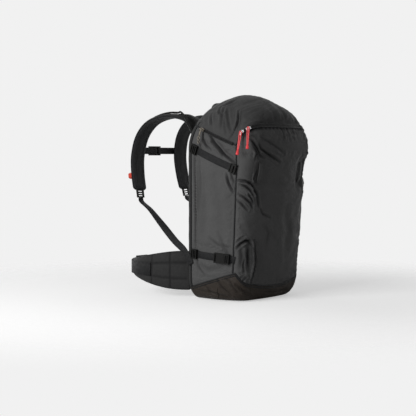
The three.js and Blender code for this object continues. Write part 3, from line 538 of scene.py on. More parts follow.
@dataclass(frozen=True)
class PackForm:
    """The stuffed pack's outer form: rounded sections stacked from the base to the top of the dome."""

    width: float = 290.0
    height: float = 577.0
    depth_foot: float = 197.0
    depth_waist: float = 213.0
    depth_top: float = 239.0
    waist_at: float = 300.0
    back_y: float = 108.0
    dome_from: float = 425.0
    foot_rise: float = 62.0
    foot_share: float = 0.74
    heel_share: float = 0.92
    front_radius: float = 36.0
    back_radius: float = 20.0
    dome_soften: float = 1.1
    side_crown: float = 8.0
    front_crown: float = 9.0
    lift: float = 0.95
    lid_line: Line = ((-190, 492), (-120, 488), (-103, 478), (-82, 461), (-75, 433), (48, 478), (138, 512))
    base_line: Line = ((-190, 30), (-98, 34), (-68, 80), (94, 32), (152, 32))
    side_line: Line = ((80, -68), (433, -75))
    back_line: Line = ((32, 94), (440, 94), (516, 74))
    zip_line: Line = ((-190, 492), (-120, 488), (-103, 478), (-82, 461))
    airbag_zip_line: Line = ((-75, 433), (48, 478))

    def place(self, points: Array) -> Array:
        """Turns millimetres in the pack's axes into metres in the frame."""
        low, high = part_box("back_wall")
        return np.asarray(points) * MM + [(low.x + high.x) / 2, high.y - self.back_y * MM, 0.0]

    def measure(self, points: Array) -> Array:
        """Turns metres in the frame into millimetres in the pack's axes."""
        low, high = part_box("back_wall")
        return (points - np.array([(low.x + high.x) / 2, high.y - self.back_y * MM, 0.0])) / MM

    def follow(self, seam: Array, around: Array) -> Array:
        """Heights of a seam that is known at every one of PLACES, at places all round the pack."""
        return np.interp(np.mod(around + 1, ROUND) - 1, PLACES, seam)

    def section(self, z: Array) -> dict[str, Array]:
        """Half width, front, back and corner radii of the sections at heights z.

        Args:
            z: heights.

        Returns:
            Each measure by its short name.
        """
        up = np.clip((z - self.dome_from) / (self.height - self.dome_from), 0, 1)
        down = np.clip((self.foot_rise - z) / self.foot_rise, 0, 1)
        dome, foot = np.sqrt(1 - up**2), np.sqrt(1 - down**2)
        share = dome * lerp(self.foot_share, 1, foot)
        lower = np.clip((z - self.foot_rise) / (self.waist_at - self.foot_rise), 0, 1)
        upper = np.clip((z - self.waist_at) / (self.dome_from - self.waist_at), 0, 1)
        depth = lerp(lerp(self.depth_foot, self.depth_waist, lower), self.depth_top, upper**2)
        half = self.width / 2 * share
        front = (self.back_y - depth) * share
        back = self.back_y * dome * lerp(self.heel_share, 1, foot)
        limit = 0.9 * np.minimum(half, (back - front) / 2)
        soften = 1 + self.dome_soften * up**2
        round_front = np.minimum(self.front_radius * soften, limit)
        round_back = np.minimum(self.back_radius * soften, limit)
        return dict(half=half, front=front, back=back, rf=round_front, rb=round_back, share=share)

    def point(self, around: Array, z: Array) -> Array:
        """Points of the form.

        Args:
            around: place round the section, from 0 at the back right through 2 to 3 on the left side, 4 to 5 on the
                front and 6 to 7 on the right side, to 8.
            z: heights.

        Returns:
            The points, in mm.
        """
        around, z = np.broadcast_arrays(np.asarray(around, float), np.asarray(z, float))
        s = self.section(z)
        half, front, back, rf, rb = (s[k] for k in ("half", "front", "back", "rf", "rb"))
        turn = np.mod(around, 8.0)
        k = np.floor(turn).astype(int)
        t = turn - k
        swell = np.sin(np.pi * t) * s["share"]
        angle = np.pi / 2 * (t + (k + 1) / 2)
        cos, sin = np.cos(angle), np.sin(angle)
        x = np.choose(k, [
            lerp(half - rb, rb - half, t), rb - half + rb * cos, -half - self.side_crown * swell,
            rf - half + rf * cos, lerp(rf - half, half - rf, t), half - rf + rf * cos,
            half + self.side_crown * swell, half - rb + rb * cos,
        ])
        y = np.choose(k, [
            back, back - rb + rb * sin, lerp(back - rb, front + rf, t), front + rf + rf * sin,
            front - self.front_crown * swell, front + rf + rf * sin, lerp(front + rf, back - rb, t),
            back - rb + rb * sin,
        ])
        return np.stack([x, y, z + 0 * x], axis=-1)

    def normal(self, around: Array, z: Array) -> Array:
        """Outward directions of the form."""
        along = self.point(around + 0.02, z) - self.point(around - 0.02, z)
        return unit(np.cross(along, self.point(around, z + 1) - self.point(around, z - 1)))

    def side_around(self, y: Array, z: Array, side: int) -> Array:
        """Place round the section of a point on a side at depth y.

        Args:
            y: depths.
            z: heights.
            side: -1 for the left, 1 for the right.

        Returns:
            The places.
        """
        s = self.section(np.asarray(z, float))
        t = (s["back"] - s["rb"] - y) / (s["back"] - s["rb"] - s["front"] - s["rf"])
        return 2 + t if side < 0 else 7 - t

    def seam_z(self, line: Line) -> Array:
        """Heights of a seam, drawn as depth and height, at every one of PLACES round the section.

        Args:
            line: the seam, drawn as depth and height.

        Returns:
            The heights.
        """
        around = PLACES
        drawn = np.array(line, float)
        z = np.full_like(around, drawn[:, 1].mean())
        for _ in range(40):
            z = lerp(z, np.interp(self.point(around, z)[..., 1], drawn[:, 0], drawn[:, 1]), 0.6)
        return z

    def seam_around(self, line: Line, z: Array, side: int) -> Array:
        """Place round the section of an upright seam, drawn as height and depth, on a side."""
        drawn = np.array(line, float)
        return self.side_around(np.interp(z, drawn[:, 0], drawn[:, 1]), z, side)

    def strip(self, around: Array, z: Array, rise: float) -> tuple[Array, Array, Array]:
        """Frame of a strip that lies on the form.

        Args:
            around: places round the section along the strip.
            z: heights along it.
            rise: height of its middle over the cloth.

        Returns:
            Its middle points, its directions across and its directions out.
        """
        out = self.normal(around, z)
        middle = self.point(around, z) + out * rise
        return middle, unit(np.cross(out, np.gradient(middle, axis=0))), out


FORM = PackForm()


@dataclass(frozen=True)
class Route:
    """A smooth centripetal curve through points."""

    points: tuple

    def sample(self, count: int, start: float = 0.0, end: float = 1.0) -> Array:
        """Points evenly spaced along the curve.

        Args:
            count: how many.
            start: share of the curve's length that they start at.
            end: share that they end at.

        Returns:
            The points.
        """
        p = np.array(self.points, float)
        p = np.vstack([2 * p[0] - p[1], p, 2 * p[-1] - p[-2]])
        fine = []
        for a, b, c, d in zip(p, p[1:], p[2:], p[3:]):
            d0, d1, d2 = (max(np.linalg.norm(k) ** 0.5, 1e-4) for k in (b - a, c - b, d - c))
            m1 = ((b - a) / d0 - (c - a) / (d0 + d1) + (c - b) / d1) * d1
            m2 = ((c - b) / d1 - (d - b) / (d1 + d2) + (d - c) / d2) * d1
            t = np.linspace(0, 1, 60)[:, None]
            cubic = (2 * b - 2 * c + m1 + m2) * t**3 + (3 * c - 3 * b - 2 * m1 - m2) * t**2
            fine.append(cubic + m1 * t + b)
        fine = np.vstack(fine)
        walked = lengths(fine)
        want = np.linspace(start, end, count) * walked[-1]
        return np.stack([np.interp(want, walked, fine[:, k]) for k in range(3)], axis=1)


# ---------------------------------------------------------------- meshes
def cloth_mesh(
    name: str, points: Array, uv: Array, materials: list, fold: Array | None = None, ring: bool = False,
    patch: Array | None = None, ends: bool = False,
) -> Piece:
    """Makes a smooth object from a grid of points.

    Args:
        name: the piece's name.
        points: rows by columns by 3, in mm.
        uv: rows by columns by 2, in mm; one more column than the points have if they close in a ring.
        materials: its materials.
        fold: rows by columns, how much shade each point holds.
        ring: whether the last column joins the first.
        patch: for each column of faces, which material it has.
        ends: whether the first and last rows are closed.

    Returns:
        The object.
    """
    rows, columns = points.shape[:2]
    spans = columns if ring else columns - 1
    index = np.arange(rows * columns).reshape(rows, columns)
    faces, corners, kinds = [], [], []
    for r in range(rows - 1):
        for c in range(spans):
            d = (c + 1) % columns
            faces.append((index[r, c], index[r, d], index[r + 1, d], index[r + 1, c]))
            corners += [uv[r, c], uv[r, c + 1], uv[r + 1, c + 1], uv[r + 1, c]]
            kinds.append(0 if patch is None else int(patch[c]))
    if ends:
        faces += [tuple(index[0][::-1]), tuple(index[-1])]
        corners += [*uv[0][:columns][::-1], *uv[-1][:columns]]
        kinds += [0, 0]
    mesh = bpy.data.meshes.new(name)
    mesh.from_pydata(FORM.place(points.reshape(-1, 3)).tolist(), [], [[int(i) for i in f] for f in faces])
    mesh.uv_layers.new(name="cut").data.foreach_set("uv", (np.array(corners) * MM).ravel())
    mesh.polygons.foreach_set("material_index", kinds)
    if fold is not None:
        mesh.attributes.new("fold", "FLOAT", "POINT").data.foreach_set("value", fold.astype(np.float32).ravel())
    mesh.shade_smooth()
    made = bpy.data.objects.new(name, mesh)
    for material in materials:
        mesh.materials.append(material)
    bpy.context.scene.collection.objects.link(made)
    return made


def sweep(
    name: str, middle: Array, across: Array, out: Array, outline: Array, materials: list,
    patch: Array | None = None, fold: Array | None = None, ends: bool = True,
) -> Piece:
    """Makes a piece by carrying an outline along a line.

    Args:
        name: the piece's name.
        middle: the line.
        across: direction of the outline's first axis at each point.
        out: direction of its second axis.
        outline: the closed outline in mm, one for all or one for each point.
        materials: its materials.
        patch: for each side of the outline, which material it has.
        fold: how much shade each point holds.
        ends: whether its ends are closed.

    Returns:
        The object.
    """
    shape = np.broadcast_to(outline, (len(middle), *outline.shape[-2:]))
    points = middle[:, None] + shape[..., :1] * across[:, None] + shape[..., 1:] * out[:, None]
    closed = np.concatenate([shape, shape[:, :1]], axis=1)
    u = lengths(closed)
    v = np.broadcast_to(lengths(middle)[:, None], u.shape)
    return cloth_mesh(name, points, np.stack([u, v], axis=-1), materials, fold, True, patch, ends)


def flat_outline(width: float, thick: float, slit: float = 0.0) -> Array:
    """Outline of a flat strip with rounded edges, slit down the middle of its face if a depth is given.

    Args:
        width: the strip's width.
        thick: its thickness.
        slit: how deep it is slit, if it is.

    Returns:
        Its corners.
    """
    w, h = width / 2, thick / 2
    r = 0.6 * h
    face = [(w - r, h), (1.1, h), (0.5, h - slit), (-0.5, h - slit), (-1.1, h), (r - w, h)]
    low = [(-w, h - r), (-w, r - h), (r - w, -h), (w - r, -h), (w, r - h), (w, h - r)]
    return np.array(face + low)


def round_outline(radius: float, sides: int = 10) -> Array:
    """Outline of a round cord."""
    a = np.arange(sides) * 2 * np.pi / sides
    return radius * np.stack([np.cos(a), np.sin(a)], axis=1)


def frames(middle: Array) -> tuple[Array, Array]:
    """Steady directions across and out along a round line.

    Args:
        middle: the line's points.

    Returns:
        The directions across, then out.
    """
    along = unit(np.gradient(middle, axis=0))
    across = [unit(np.cross(along[0], [0.31, 0.84, 0.45]))]
    for direction in along[1:]:
        across.append(unit(across[-1] - np.dot(across[-1], direction) * direction))
    across = np.array(across)
    return across, np.cross(along, across)


def cord_piece(name: str, middle: Array, radius: float, material: bpy.types.Material, sides: int = 10) -> Piece:
    """Makes a round cord or piping along a line."""
    across, out = frames(middle)
    return sweep(name, middle, across, out, round_outline(radius, sides), [material])


def fit(piece: Piece, body: str, slot: str, *nodes: str, fullness: float | None = None) -> Piece:
    """Hangs a piece on its body, hides the CAD nodes that it replaces and logs its face count.

    Args:
        piece: the piece.
        body: the CAD body that it rides on.
        slot: a material slot name; not used.
        *nodes: CAD nodes that it replaces.
        fullness: how tightly it is padded, if it is; not used.

    Returns:
        The piece.
    """
    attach(piece, body)
    if nodes:
        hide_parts(*nodes)
    LOG.info("%s: %d faces on %s", piece.name, len(piece.data.polygons), body)
    return piece


def stitches(name: str, lines: list[Array], material: bpy.types.Material, body: str, slot: str) -> Piece:
    """Sews a row of thread stitches along each line.

    Args:
        name: the piece's name.
        lines: lines of points on the cloth's face, in mm.
        material: the thread.
        body: the CAD body that it rides on.
        slot: a material slot name, handed to fit; not used.

    Returns:
        The stitches, as one piece.
    """
    pitch, length, radius = 4.2, 3.0, 0.42
    points, faces = [], []
    for line in lines:
        walked = lengths(line)
        starts = np.arange(pitch / 2, walked[-1] - length, pitch)
        cuts = np.stack([starts, starts + length / 2, starts + length], axis=1)
        path = np.stack([np.interp(cuts, walked, line[:, k]) for k in range(3)], axis=-1)
        for three in path:
            across, out = frames(three)
            first = len(points)
            for at, size in ((0, 0.5), (1, 1.0), (2, 0.5)):
                for angle in np.arange(5) * 2 * np.pi / 5:
                    points.append(three[at] + size * radius * (np.cos(angle) * across[at] + np.sin(angle) * out[at]))
            for ring in (0, 5):
                for k in range(5):
                    n = (k + 1) % 5
                    a, b = first + ring + k, first + ring + n
                    faces.append((a, b, b + 5, a + 5))
            faces += [tuple(first + k for k in range(4, -1, -1)), tuple(first + 10 + k for k in range(5))]
    mesh = bpy.data.meshes.new(name)
    mesh.from_pydata(FORM.place(np.array(points)).tolist(), [], faces)
    mesh.shade_smooth()
    mesh.materials.append(material)
    made = bpy.data.objects.new(name, mesh)
    bpy.context.scene.collection.objects.link(made)
    return fit(made, body, slot)


# ---------------------------------------------------------------- cloth shell
@dataclass(frozen=True)
class Fold:
    """A crease pressed in the cloth, drawn as places round the pack and heights."""

    line: Line
    depth: float = 3.0
    width: float = 5.0
    lip: float = 0.5
    shade: float = 0.5

    def press(self, points: Array) -> tuple[Array, Array]:
        """How far the fold lifts each point, and how much shade it gives it.

        Args:
            points: the cloth's points, in mm.

        Returns:
            The lifts in mm, then the shades.
        """
        drawn = np.array(self.line, float)
        steps = np.linspace(0, len(drawn) - 1, 12 * (len(drawn) - 1) + 1)
        around, z = (np.interp(steps, np.arange(len(drawn)), drawn[:, k]) for k in (0, 1))
        crease = FORM.point(around, z)
        gaps = np.linalg.norm(points[..., None, :] - crease, axis=-1)
        nearest = gaps.argmin(-1)
        gap = gaps.min(-1) / self.width
        run = nearest / (len(crease) - 1)
        fade = np.sin(np.pi * np.clip(lerp(0.06, 0.94, run), 0, 1)) ** 0.6
        rise = self.lip * np.exp(-((gap - 1.7) / 0.8) ** 2) - np.exp(-gap**2)
        return self.depth * fade * rise, self.shade * fade * np.exp(-(gap / 0.9) ** 2)


@dataclass(frozen=True)
class Swell:
    """A broad rise where what fills the pack pushes the cloth out."""

    around: float = 0.0
    z: float = 0.0
    wide: float = 1.0
    tall: float = 1.0
    height: float = 0.0

    def lift(self, around: Array, z: Array) -> Array:
        """How far it lifts the cloth at places round the pack and heights."""
        return self.height * np.exp(-((around - self.around) / self.wide) ** 2 - ((z - self.z) / self.tall) ** 2)


@dataclass(frozen=True)
class ShellPanel:
    """A cut of shell cloth between four seams, stuffed and creased."""

    name: str
    nodes: tuple[str, ...]
    slot: str
    cloth: str
    folds: tuple[Fold, ...] = ()
    slack: float = 0.02
    proud: float = 4.0
    tuck: float = 2.2
    tuck_width: float = 5.0
    plump: Swell = Swell()
    cloth_thick: float = 1.6
    straps: tuple[Line, ...] = (((84, 428), (-62, 370)), ((84, 130), (-86, 117)))
    strap_reach: float = 13.0
    hook_reach: float = 20.0
    hooks_from: float = -30.0
    flank: float = 118.0
    zip_reach: float = 9.0
    loop_at: tuple[float, float] = (94.0, 358.0)
    loop_reach: tuple[float, float] = (8.0, 32.0)

    def settle(self, points: Array, hold: Array) -> Array:
        """Blows the cloth up over what fills the pack, held at its seams.

        Args:
            points: the cut's points, in mm.
            hold: how firmly each point is held, 0 to 1.

        Returns:
            How far each point moves, in mm.
        """
        coarse, grip = points[::2, ::2], hold[::2, ::2]
        flat = np.zeros((*coarse.shape[:2], 2))
        patch = cloth_mesh("settling", coarse, flat, [])
        start = np.array([v.co for v in patch.data.vertices])
        seam = patch.vertex_groups.new(name="seam")
        for number, share in enumerate(grip.ravel()):
            seam.add([number], float(share), "REPLACE")
        cloth = patch.modifiers.new("cloth", "CLOTH").settings
        cloth.vertex_group_mass = "seam"
        cloth.use_pressure = True
        cloth.uniform_pressure_force = 4.0
        cloth.shrink_min = -self.slack
        cloth.mass = 0.2
        cloth.bending_stiffness = 0.4
        cloth.compression_stiffness = 8.0
        cloth.effector_weights.gravity = 0.0
        scene = bpy.context.scene
        for step in range(1, 21):
            scene.frame_set(step)
        shaped = patch.evaluated_get(bpy.context.evaluated_depsgraph_get()).to_mesh()
        moved = (np.array([v.co for v in shaped.vertices]) - start).reshape(coarse.shape) / MM
        patch.to_mesh_clear()
        bpy.data.objects.remove(patch)
        scene.frame_set(1)
        size = np.linalg.norm(moved, axis=-1, keepdims=True)
        moved *= self.proud / (self.proud + size)
        for axis in (0, 1):
            count = points.shape[axis]
            at, knots = np.arange(count), np.arange(0, count, 2)
            moved = np.apply_along_axis(lambda line: np.interp(at, knots, line), axis, moved)
        return moved

    def cut(self, around: Array, z: Array, closed: bool = False) -> tuple[Array, Array, Array]:
        """Shapes the cloth.

        Args:
            around: rows by columns of places round the section.
            z: their heights.
            closed: whether the cut goes right round the pack.

        Returns:
            Its points, its shade and its flat coordinates, in mm.
        """
        base = FORM.point(around, z)
        u, v = lengths(base), lengths(base.swapaxes(0, 1)).swapaxes(0, 1)
        side_gap = np.full_like(u, 1e3) if closed else np.minimum(u, u[:, -1:] - u)
        end_gap = v if closed else np.minimum(v, v[-1:] - v)
        edge = np.minimum(side_gap, end_gap)
        sewn = 1 - smooth(edge / self.tuck_width)
        rise = -self.tuck * sewn
        shade = 0.55 * np.exp(-(edge / 1.6) ** 2)
        keep = self.free(around, z) * smooth((edge - 2) / 14)
        for fold in self.folds:
            lift, dark = fold.press(base)
            clear = np.where(lift > 0, self.free(around, z), 1.0)
            rise = rise + lift * smooth(edge / 6) * clear
            shade = np.maximum(shade, dark)
        rise = rise + self.plump.lift(around, z) * smooth(edge / 30) * self.free(around, z)
        ripple = 0.5 * np.sin(u / 11 + 2.1 * np.sin(v / 23)) * np.sin(v / 17 + 1.7 * np.sin(u / 29))
        moved = self.settle(base, np.clip(1 - keep * 1.2, 0, 1)) * keep[..., None]
        out = np.cross(np.gradient(base, axis=1), np.gradient(base, axis=0))
        out = unit(np.where(np.linalg.norm(out, axis=-1, keepdims=True) < 1e-6, [0, 0, 1.0], out))
        return base + out * (rise + ripple * keep)[..., None] + moved, shade, np.stack([u, v], axis=-1)

    def free(self, around: Array, z: Array) -> Array:
        """Share of the stuffing's push that each point may follow: none where hardware lies on the cloth.

        Args:
            around: places round the section.
            z: their heights.

        Returns:
            The shares, 0 to 1.
        """
        point = FORM.point(around, z)
        share = np.ones(point.shape[:2])
        sideways = np.abs(point[..., 0]) > self.flank
        for (y0, z0), (y1, z1) in self.straps:
            run = np.clip((point[..., 1] - y0) / (y1 - y0), 0, 1)
            reach = np.where(point[..., 1] < self.hooks_from, self.hook_reach, self.strap_reach)
            gap = smooth((np.abs(z - lerp(z0, z1, run)) - reach) / 14)
            share = np.minimum(share, np.where(sideways, gap, 1))
        (x, height), (wide, tall) = self.loop_at, self.loop_reach
        loop = np.maximum(np.abs(np.abs(point[..., 0]) - x) - wide, np.abs(z - height) - tall)
        loop = np.where(point[..., 1] < -70, smooth(loop / 16), 1.0)
        for line in (FORM.zip_line, FORM.airbag_zip_line):
            drawn = np.array(line, float)
            seam = np.interp(point[..., 1], drawn[:, 0], drawn[:, 1])
            share = np.minimum(share, smooth((np.abs(z - seam) - self.zip_reach) / 10))
        return np.minimum(share, loop)

    def sew(self, wardrobe: Wardrobe, around: Array, z: Array, closed: bool = False) -> Piece:
        """Makes the panel, with its cloth's thickness.

        Args:
            wardrobe: the finishes.
            around: places round the section.
            z: their heights.
            closed: whether the cut goes right round the pack.

        Returns:
            The panel.
        """
        points, shade, uv = self.cut(around, z, closed)
        made = cloth_mesh(self.name, points, uv, [getattr(wardrobe, self.cloth)], shade)
        thick = made.modifiers.new("cloth_thickness", "SOLIDIFY")
        thick.thickness = self.cloth_thick * MM
        thick.offset = -1.0
        return fit(made, "pack", self.slot, *self.nodes, fullness=0.8)


@dataclass(frozen=True)
class Shell:
    """The pack's sewn body: two sides, front, back, lid and base, with its piping and seam stitching."""

    piping: float = 1.5
    side_folds: tuple[Fold, ...] = (
        Fold(((2.3, 478), (2.48, 444), (2.72, 406), (2.97, 380)), 7.0, 4.6, 0.9, 1.0),
        Fold(((2.36, 474), (2.56, 446), (2.8, 424)), -3.0, 7.0, 0.1, 0.0),
        Fold(((2.2, 476), (2.25, 450), (2.38, 424)), 4.0, 3.6, 0.8, 0.85),
        Fold(((2.12, 468), (2.18, 440), (2.22, 424)), 3.4, 3.4, 0.8, 0.8),
        Fold(((2.28, 452), (2.34, 436), (2.44, 420)), 3.0, 3.2, 0.8, 0.7),
        Fold(((2.08, 412), (2.12, 330), (2.14, 230), (2.12, 146)), 4.2, 4.4, 0.7, 0.85),
        Fold(((2.2, 400), (2.24, 330), (2.22, 250)), 2.0, 7.0, 0.5, 0.25),
        Fold(((2.8, 356), (2.87, 330), (2.97, 304)), 4.0, 3.4, 0.8, 0.9),
        Fold(((2.86, 364), (2.92, 346), (2.98, 330)), 3.0, 3.0, 0.8, 0.8),
        Fold(((2.3, 350), (2.34, 250), (2.3, 165)), 1.8, 15.0, 0.4, 0.1),
        Fold(((2.55, 350), (2.68, 270), (2.72, 200)), 1.6, 14.0, 0.4, 0.1),
        Fold(((2.5, 176), (2.7, 158), (2.95, 150)), 2.2, 5.0, 0.6, 0.35),
        Fold(((2.7, 190), (2.88, 140), (2.95, 100)), 2.4, 6.0, 0.5, 0.35),
        Fold(((2.12, 128), (2.2, 96), (2.4, 72)), 2.6, 5.0, 0.6, 0.5),
        Fold(((2.2, 105), (2.5, 88), (2.8, 96)), 2.4, 7.0, 0.5, 0.3),
    )
    front_folds: tuple[Fold, ...] = (
        # A shallow crease along the main zip, darkened as a painted shadow beside the zip.
        Fold(((3.06, 452), (3.3, 470), (3.6, 480), (4.0, 482), (5.0, 482), (5.94, 452)), 1.0, 6.5, 0.4, 0.97),
        Fold(((3.42, 452), (3.74, 428), (4.1, 400)), 6.0, 4.4, 0.9, 1.0),
        Fold(((3.86, 438), (4.1, 414), (4.4, 388)), 5.2, 4.0, 0.9, 0.95),
        Fold(((3.5, 436), (3.78, 414), (4.0, 396)), 3.2, 3.6, 0.8, 0.7),
        Fold(((4.0, 456), (4.22, 436), (4.46, 412)), 3.4, 4.6, 0.7, 0.6),
        Fold(((3.72, 424), (3.8, 408), (3.84, 392)), 2.6, 3.4, 0.8, 0.6),
        Fold(((4.43, 488), (4.45, 456)), 2.4, 4.0, 0.7, 0.4),
        Fold(((4.55, 486), (4.57, 462)), 1.8, 4.0, 0.7, 0.3),
        Fold(((4.7, 484), (4.71, 466)), 1.8, 4.0, 0.7, 0.3),
        Fold(((3.15, 338), (3.5, 336), (3.78, 330), (3.96, 318), (4.04, 298), (4.08, 266)), 6.5, 4.0, 0.9, 1.0),
        Fold(((3.25, 326), (3.52, 322), (3.78, 312), (3.92, 296)), 3.6, 3.2, 0.9, 0.85),
        Fold(((3.2, 300), (3.5, 290), (3.8, 276), (3.96, 262)), 3.8, 3.4, 0.8, 0.8),
        Fold(((3.12, 284), (3.4, 272), (3.7, 256)), 3.0, 3.4, 0.8, 0.6),
        Fold(((3.7, 300), (3.86, 284), (3.96, 270)), 3.0, 3.0, 0.8, 0.8),
        Fold(((3.94, 330), (4.0, 346), (4.02, 366)), 3.0, 3.4, 0.7, 0.7),
        Fold(((4.1, 262), (4.16, 244), (4.3, 232)), 2.4, 3.6, 0.8, 0.6),
        Fold(((3.26, 150), (3.46, 164), (3.66, 171), (3.84, 170), (4.0, 160)), 5.5, 4.2, 0.9, 1.0),
        Fold(((3.2, 164), (3.4, 176), (3.6, 182)), 2.6, 3.6, 0.8, 0.5),
        Fold(((3.4, 158), (3.5, 128), (3.46, 98)), 2.0, 7.0, 0.3, 0.7),
        Fold(((3.66, 120), (3.62, 104), (3.68, 84)), 2.4, 4.0, 0.8, 0.8),
        Fold(((3.8, 160), (3.86, 124), (3.92, 90)), 3.2, 6.5, 0.3, 1.0),
        Fold(((3.2, 78), (3.45, 66), (3.7, 72)), 2.4, 4.0, 0.8, 0.5),
        Fold(((3.5, 52), (3.65, 62), (3.85, 70)), 2.4, 3.6, 0.8, 0.6),
        Fold(((4.04, 172), (4.08, 110), (4.02, 42)), 5.5, 2.8, 1.2, 1.0),
        Fold(((4.6, 250), (4.7, 190), (4.66, 130)), 2.0, 16.0, 0.3, 0.1),
        Fold(((4.2, 214), (4.3, 190), (4.26, 160)), 2.0, 7.0, 0.5, 0.25),
        Fold(((5.1, 446), (5.3, 426), (5.5, 400)), 4.0, 4.4, 0.7, 0.6),
        Fold(((4.3, 330), (4.5, 322), (4.8, 330)), 1.6, 12.0, 0.4, 0.15),
        Fold(((5.9, 150), (5.7, 168), (5.3, 166)), 2.4, 4.6, 0.8, 0.9),
        Fold(((5.9, 330), (5.6, 326), (5.3, 300)), 4.0, 4.4, 0.8, 0.7),
    )
    lid_folds: tuple[Fold, ...] = (
        Fold(((2.76, 450), (2.88, 476), (3.0, 504), (3.12, 528)), 3.6, 2.8, 1.0, 1.0),
        # A shallow crease along the main zip on the lid side, darkened as a painted shadow.
        Fold(((3.06, 466), (3.5, 483), (4.0, 491), (5.0, 491), (5.94, 466)), 1.0, 8.0, 0.2, 0.98),
        Fold(((2.72, 534), (2.76, 500), (2.8, 470)), 2.8, 4.4, 0.7, 0.5),
        Fold(((2.56, 536), (2.6, 505), (2.6, 480)), 2.8, 4.2, 0.7, 0.5),
        Fold(((2.64, 520), (2.68, 490), (2.7, 462)), 2.2, 3.6, 0.7, 0.4),
        Fold(((2.34, 540), (2.46, 524), (2.6, 516)), 2.4, 4.0, 0.7, 0.5),
        Fold(((2.9, 556), (2.66, 550), (2.4, 544)), 2.6, 5.0, 0.6, 0.5),
        Fold(((4.2, 540), (4.3, 515), (4.32, 500)), 1.6, 8.0, 0.5, 0.15),
        Fold(((4.7, 550), (4.6, 524), (4.62, 502)), 1.6, 9.0, 0.5, 0.15),
        Fold(((2.2, 520), (2.3, 505), (2.36, 492)), 2.4, 4.0, 0.7, 0.5),
        Fold(((6.4, 540), (6.3, 500), (6.2, 470)), 2.8, 5.0, 0.6, 0.4),
        Fold(((0.3, 540), (0.5, 530), (0.8, 540)), 2.0, 9.0, 0.4, 0.2),
    )

    base_folds: tuple[Fold, ...] = (
        Fold(((2.9, 64), (3.1, 44), (3.4, 26)), 2.2, 4.0, 0.9, 0.5),
        Fold(((2.7, 60), (2.8, 40), (3.0, 20)), 2.4, 5.0, 0.8, 0.5),
        Fold(((2.4, 40), (2.5, 26), (2.7, 14)), 2.2, 5.0, 0.8, 0.4),
        Fold(((3.3, 50), (3.6, 34), (3.95, 22)), 2.0, 4.0, 0.9, 0.4),
        Fold(((2.2, 26), (2.6, 20), (3.0, 12)), 1.8, 5.0, 0.7, 0.3),
        Fold(((4.3, 22), (4.6, 16), (4.9, 20)), 1.6, 5.0, 0.7, 0.3),
        Fold(((6.1, 60), (6.0, 40), (5.7, 26)), 2.2, 4.0, 0.9, 0.5),
    )

    def build(self, wardrobe: Wardrobe) -> None:
        """Sews every panel, then the piping and the stitching.

        Args:
            wardrobe: the finishes.
        """
        lid, base = FORM.seam_z(FORM.lid_line), FORM.seam_z(FORM.base_line)

        def between(
            foot: Array, head: Array, left: Callable[[Array], Array], right: Callable[[Array], Array],
            columns: int, rows: int,
        ) -> tuple[Array, Array]:
            """Spreads a grid between two level seams and two upright ones.

            Args:
                foot: heights of the lower seam, at every one of PLACES.
                head: heights of the upper seam.
                left: gives the place of the left seam at a height.
                right: the same for the right seam.
                columns: how many points across.
                rows: how many up.

            Returns:
                Places round the section, then heights.
            """
            u, v = np.meshgrid(np.linspace(0, 1, columns), np.linspace(0, 1, rows))
            z = lerp(80.0, 430.0, v)
            for _ in range(30):
                around = lerp(left(z), right(z), u)
                low, high = np.interp(around, PLACES, foot), np.interp(around, PLACES, head)
                z = lerp(z, lerp(low, high, v), 0.7)
            return around, z

        def back(z: Array, side: int = -1) -> Array:
            """The seam between the left side and the back."""
            return FORM.seam_around(FORM.back_line, z, side)

        def side(z: Array) -> Array:
            """The seam between the left side and the front."""
            return FORM.seam_around(FORM.side_line, z, -1)

        left = ShellPanel(
            "side_cloth_left", ("side_panel_left",), "shell_cloth", "shell", self.side_folds, 0.03, 3.5,
        )
        left.sew(wardrobe, *between(base, lid, back, side, 121, 201))
        turned = tuple(
            Fold(tuple((9 - a, z) for a, z in fold.line), fold.depth * 0.8, fold.width, fold.lip, fold.shade * 0.7)
            for fold in self.side_folds
        )
        right = ShellPanel(
            "side_cloth_right", ("side_panel_right",), "shell_cloth", "shell", turned, 0.03, 3.5,
        )
        right.sew(wardrobe, *between(base, lid, lambda z: 9 - side(z), lambda z: 9 - back(z), 121, 201))
        front = ShellPanel(
            "front_cloth", ("front_panel",), "shell_cloth", "shell", self.front_folds, 0.025, 4.5,
            plump=Swell(5.2, 250.0, 0.9, 160.0, 7.0),
        )
        front.sew(wardrobe, *between(base, lid, side, lambda z: 9 - side(z), 221, 211))
        rear = ShellPanel("back_cloth", ("back_wall",), "shell_cloth", "pad", (), 0.01, 0.01)
        rear.sew(wardrobe, *between(base, lid, lambda z: 1 - back(z), back, 91, 151))

        around, v = np.meshgrid(np.linspace(0.5, 8.5, 321), np.linspace(0, 1, 91))
        foot = FORM.follow(lid, around)
        rise = FORM.height - FORM.dome_from
        climb = lerp(np.arcsin(np.clip((foot - FORM.dome_from) / rise, 0, 1)), np.pi / 2 - 0.004, v)
        top = ShellPanel("lid_cloth", ("lid_panel",), "lid_cloth", "lid", self.lid_folds, 0.02, 4.0,
                         plump=Swell(4.6, 520.0, 1.0, 26.0, 9.0))
        top.sew(wardrobe, around, FORM.dome_from + rise * np.sin(climb), True)

        head = FORM.follow(base, around)
        drop = lerp(0.5 * np.pi - 0.02, np.arcsin(np.clip(1 - head / FORM.foot_rise, -1, 1)), v)
        z = np.where(head > FORM.foot_rise, lerp(0.02, head, v), FORM.foot_rise * (1 - np.sin(drop)))
        floor = ShellPanel("base_cloth", ("base_panel",), "base_cloth", "base", self.base_folds, 0.0, 0.01, 2.0)
        points, shade, uv = floor.cut(around, z, True)
        middle = np.array([points[0, :, 0].mean(), points[0, :, 1].mean(), 0.3])
        sole = lerp(middle, points[:1], np.linspace(0, 1, 14)[:-1, None, None])
        sole[..., 2] = 0.3
        flat = np.stack([sole[..., 0], sole[..., 1]], axis=-1)
        points, shade = np.vstack([sole, points]), np.vstack([np.zeros(sole.shape[:2]), shade])
        made = cloth_mesh("base_cloth", points, np.vstack([flat, uv]), [wardrobe.base], shade)
        fit(made, "pack", "base_cloth", *floor.nodes, fullness=0.8)

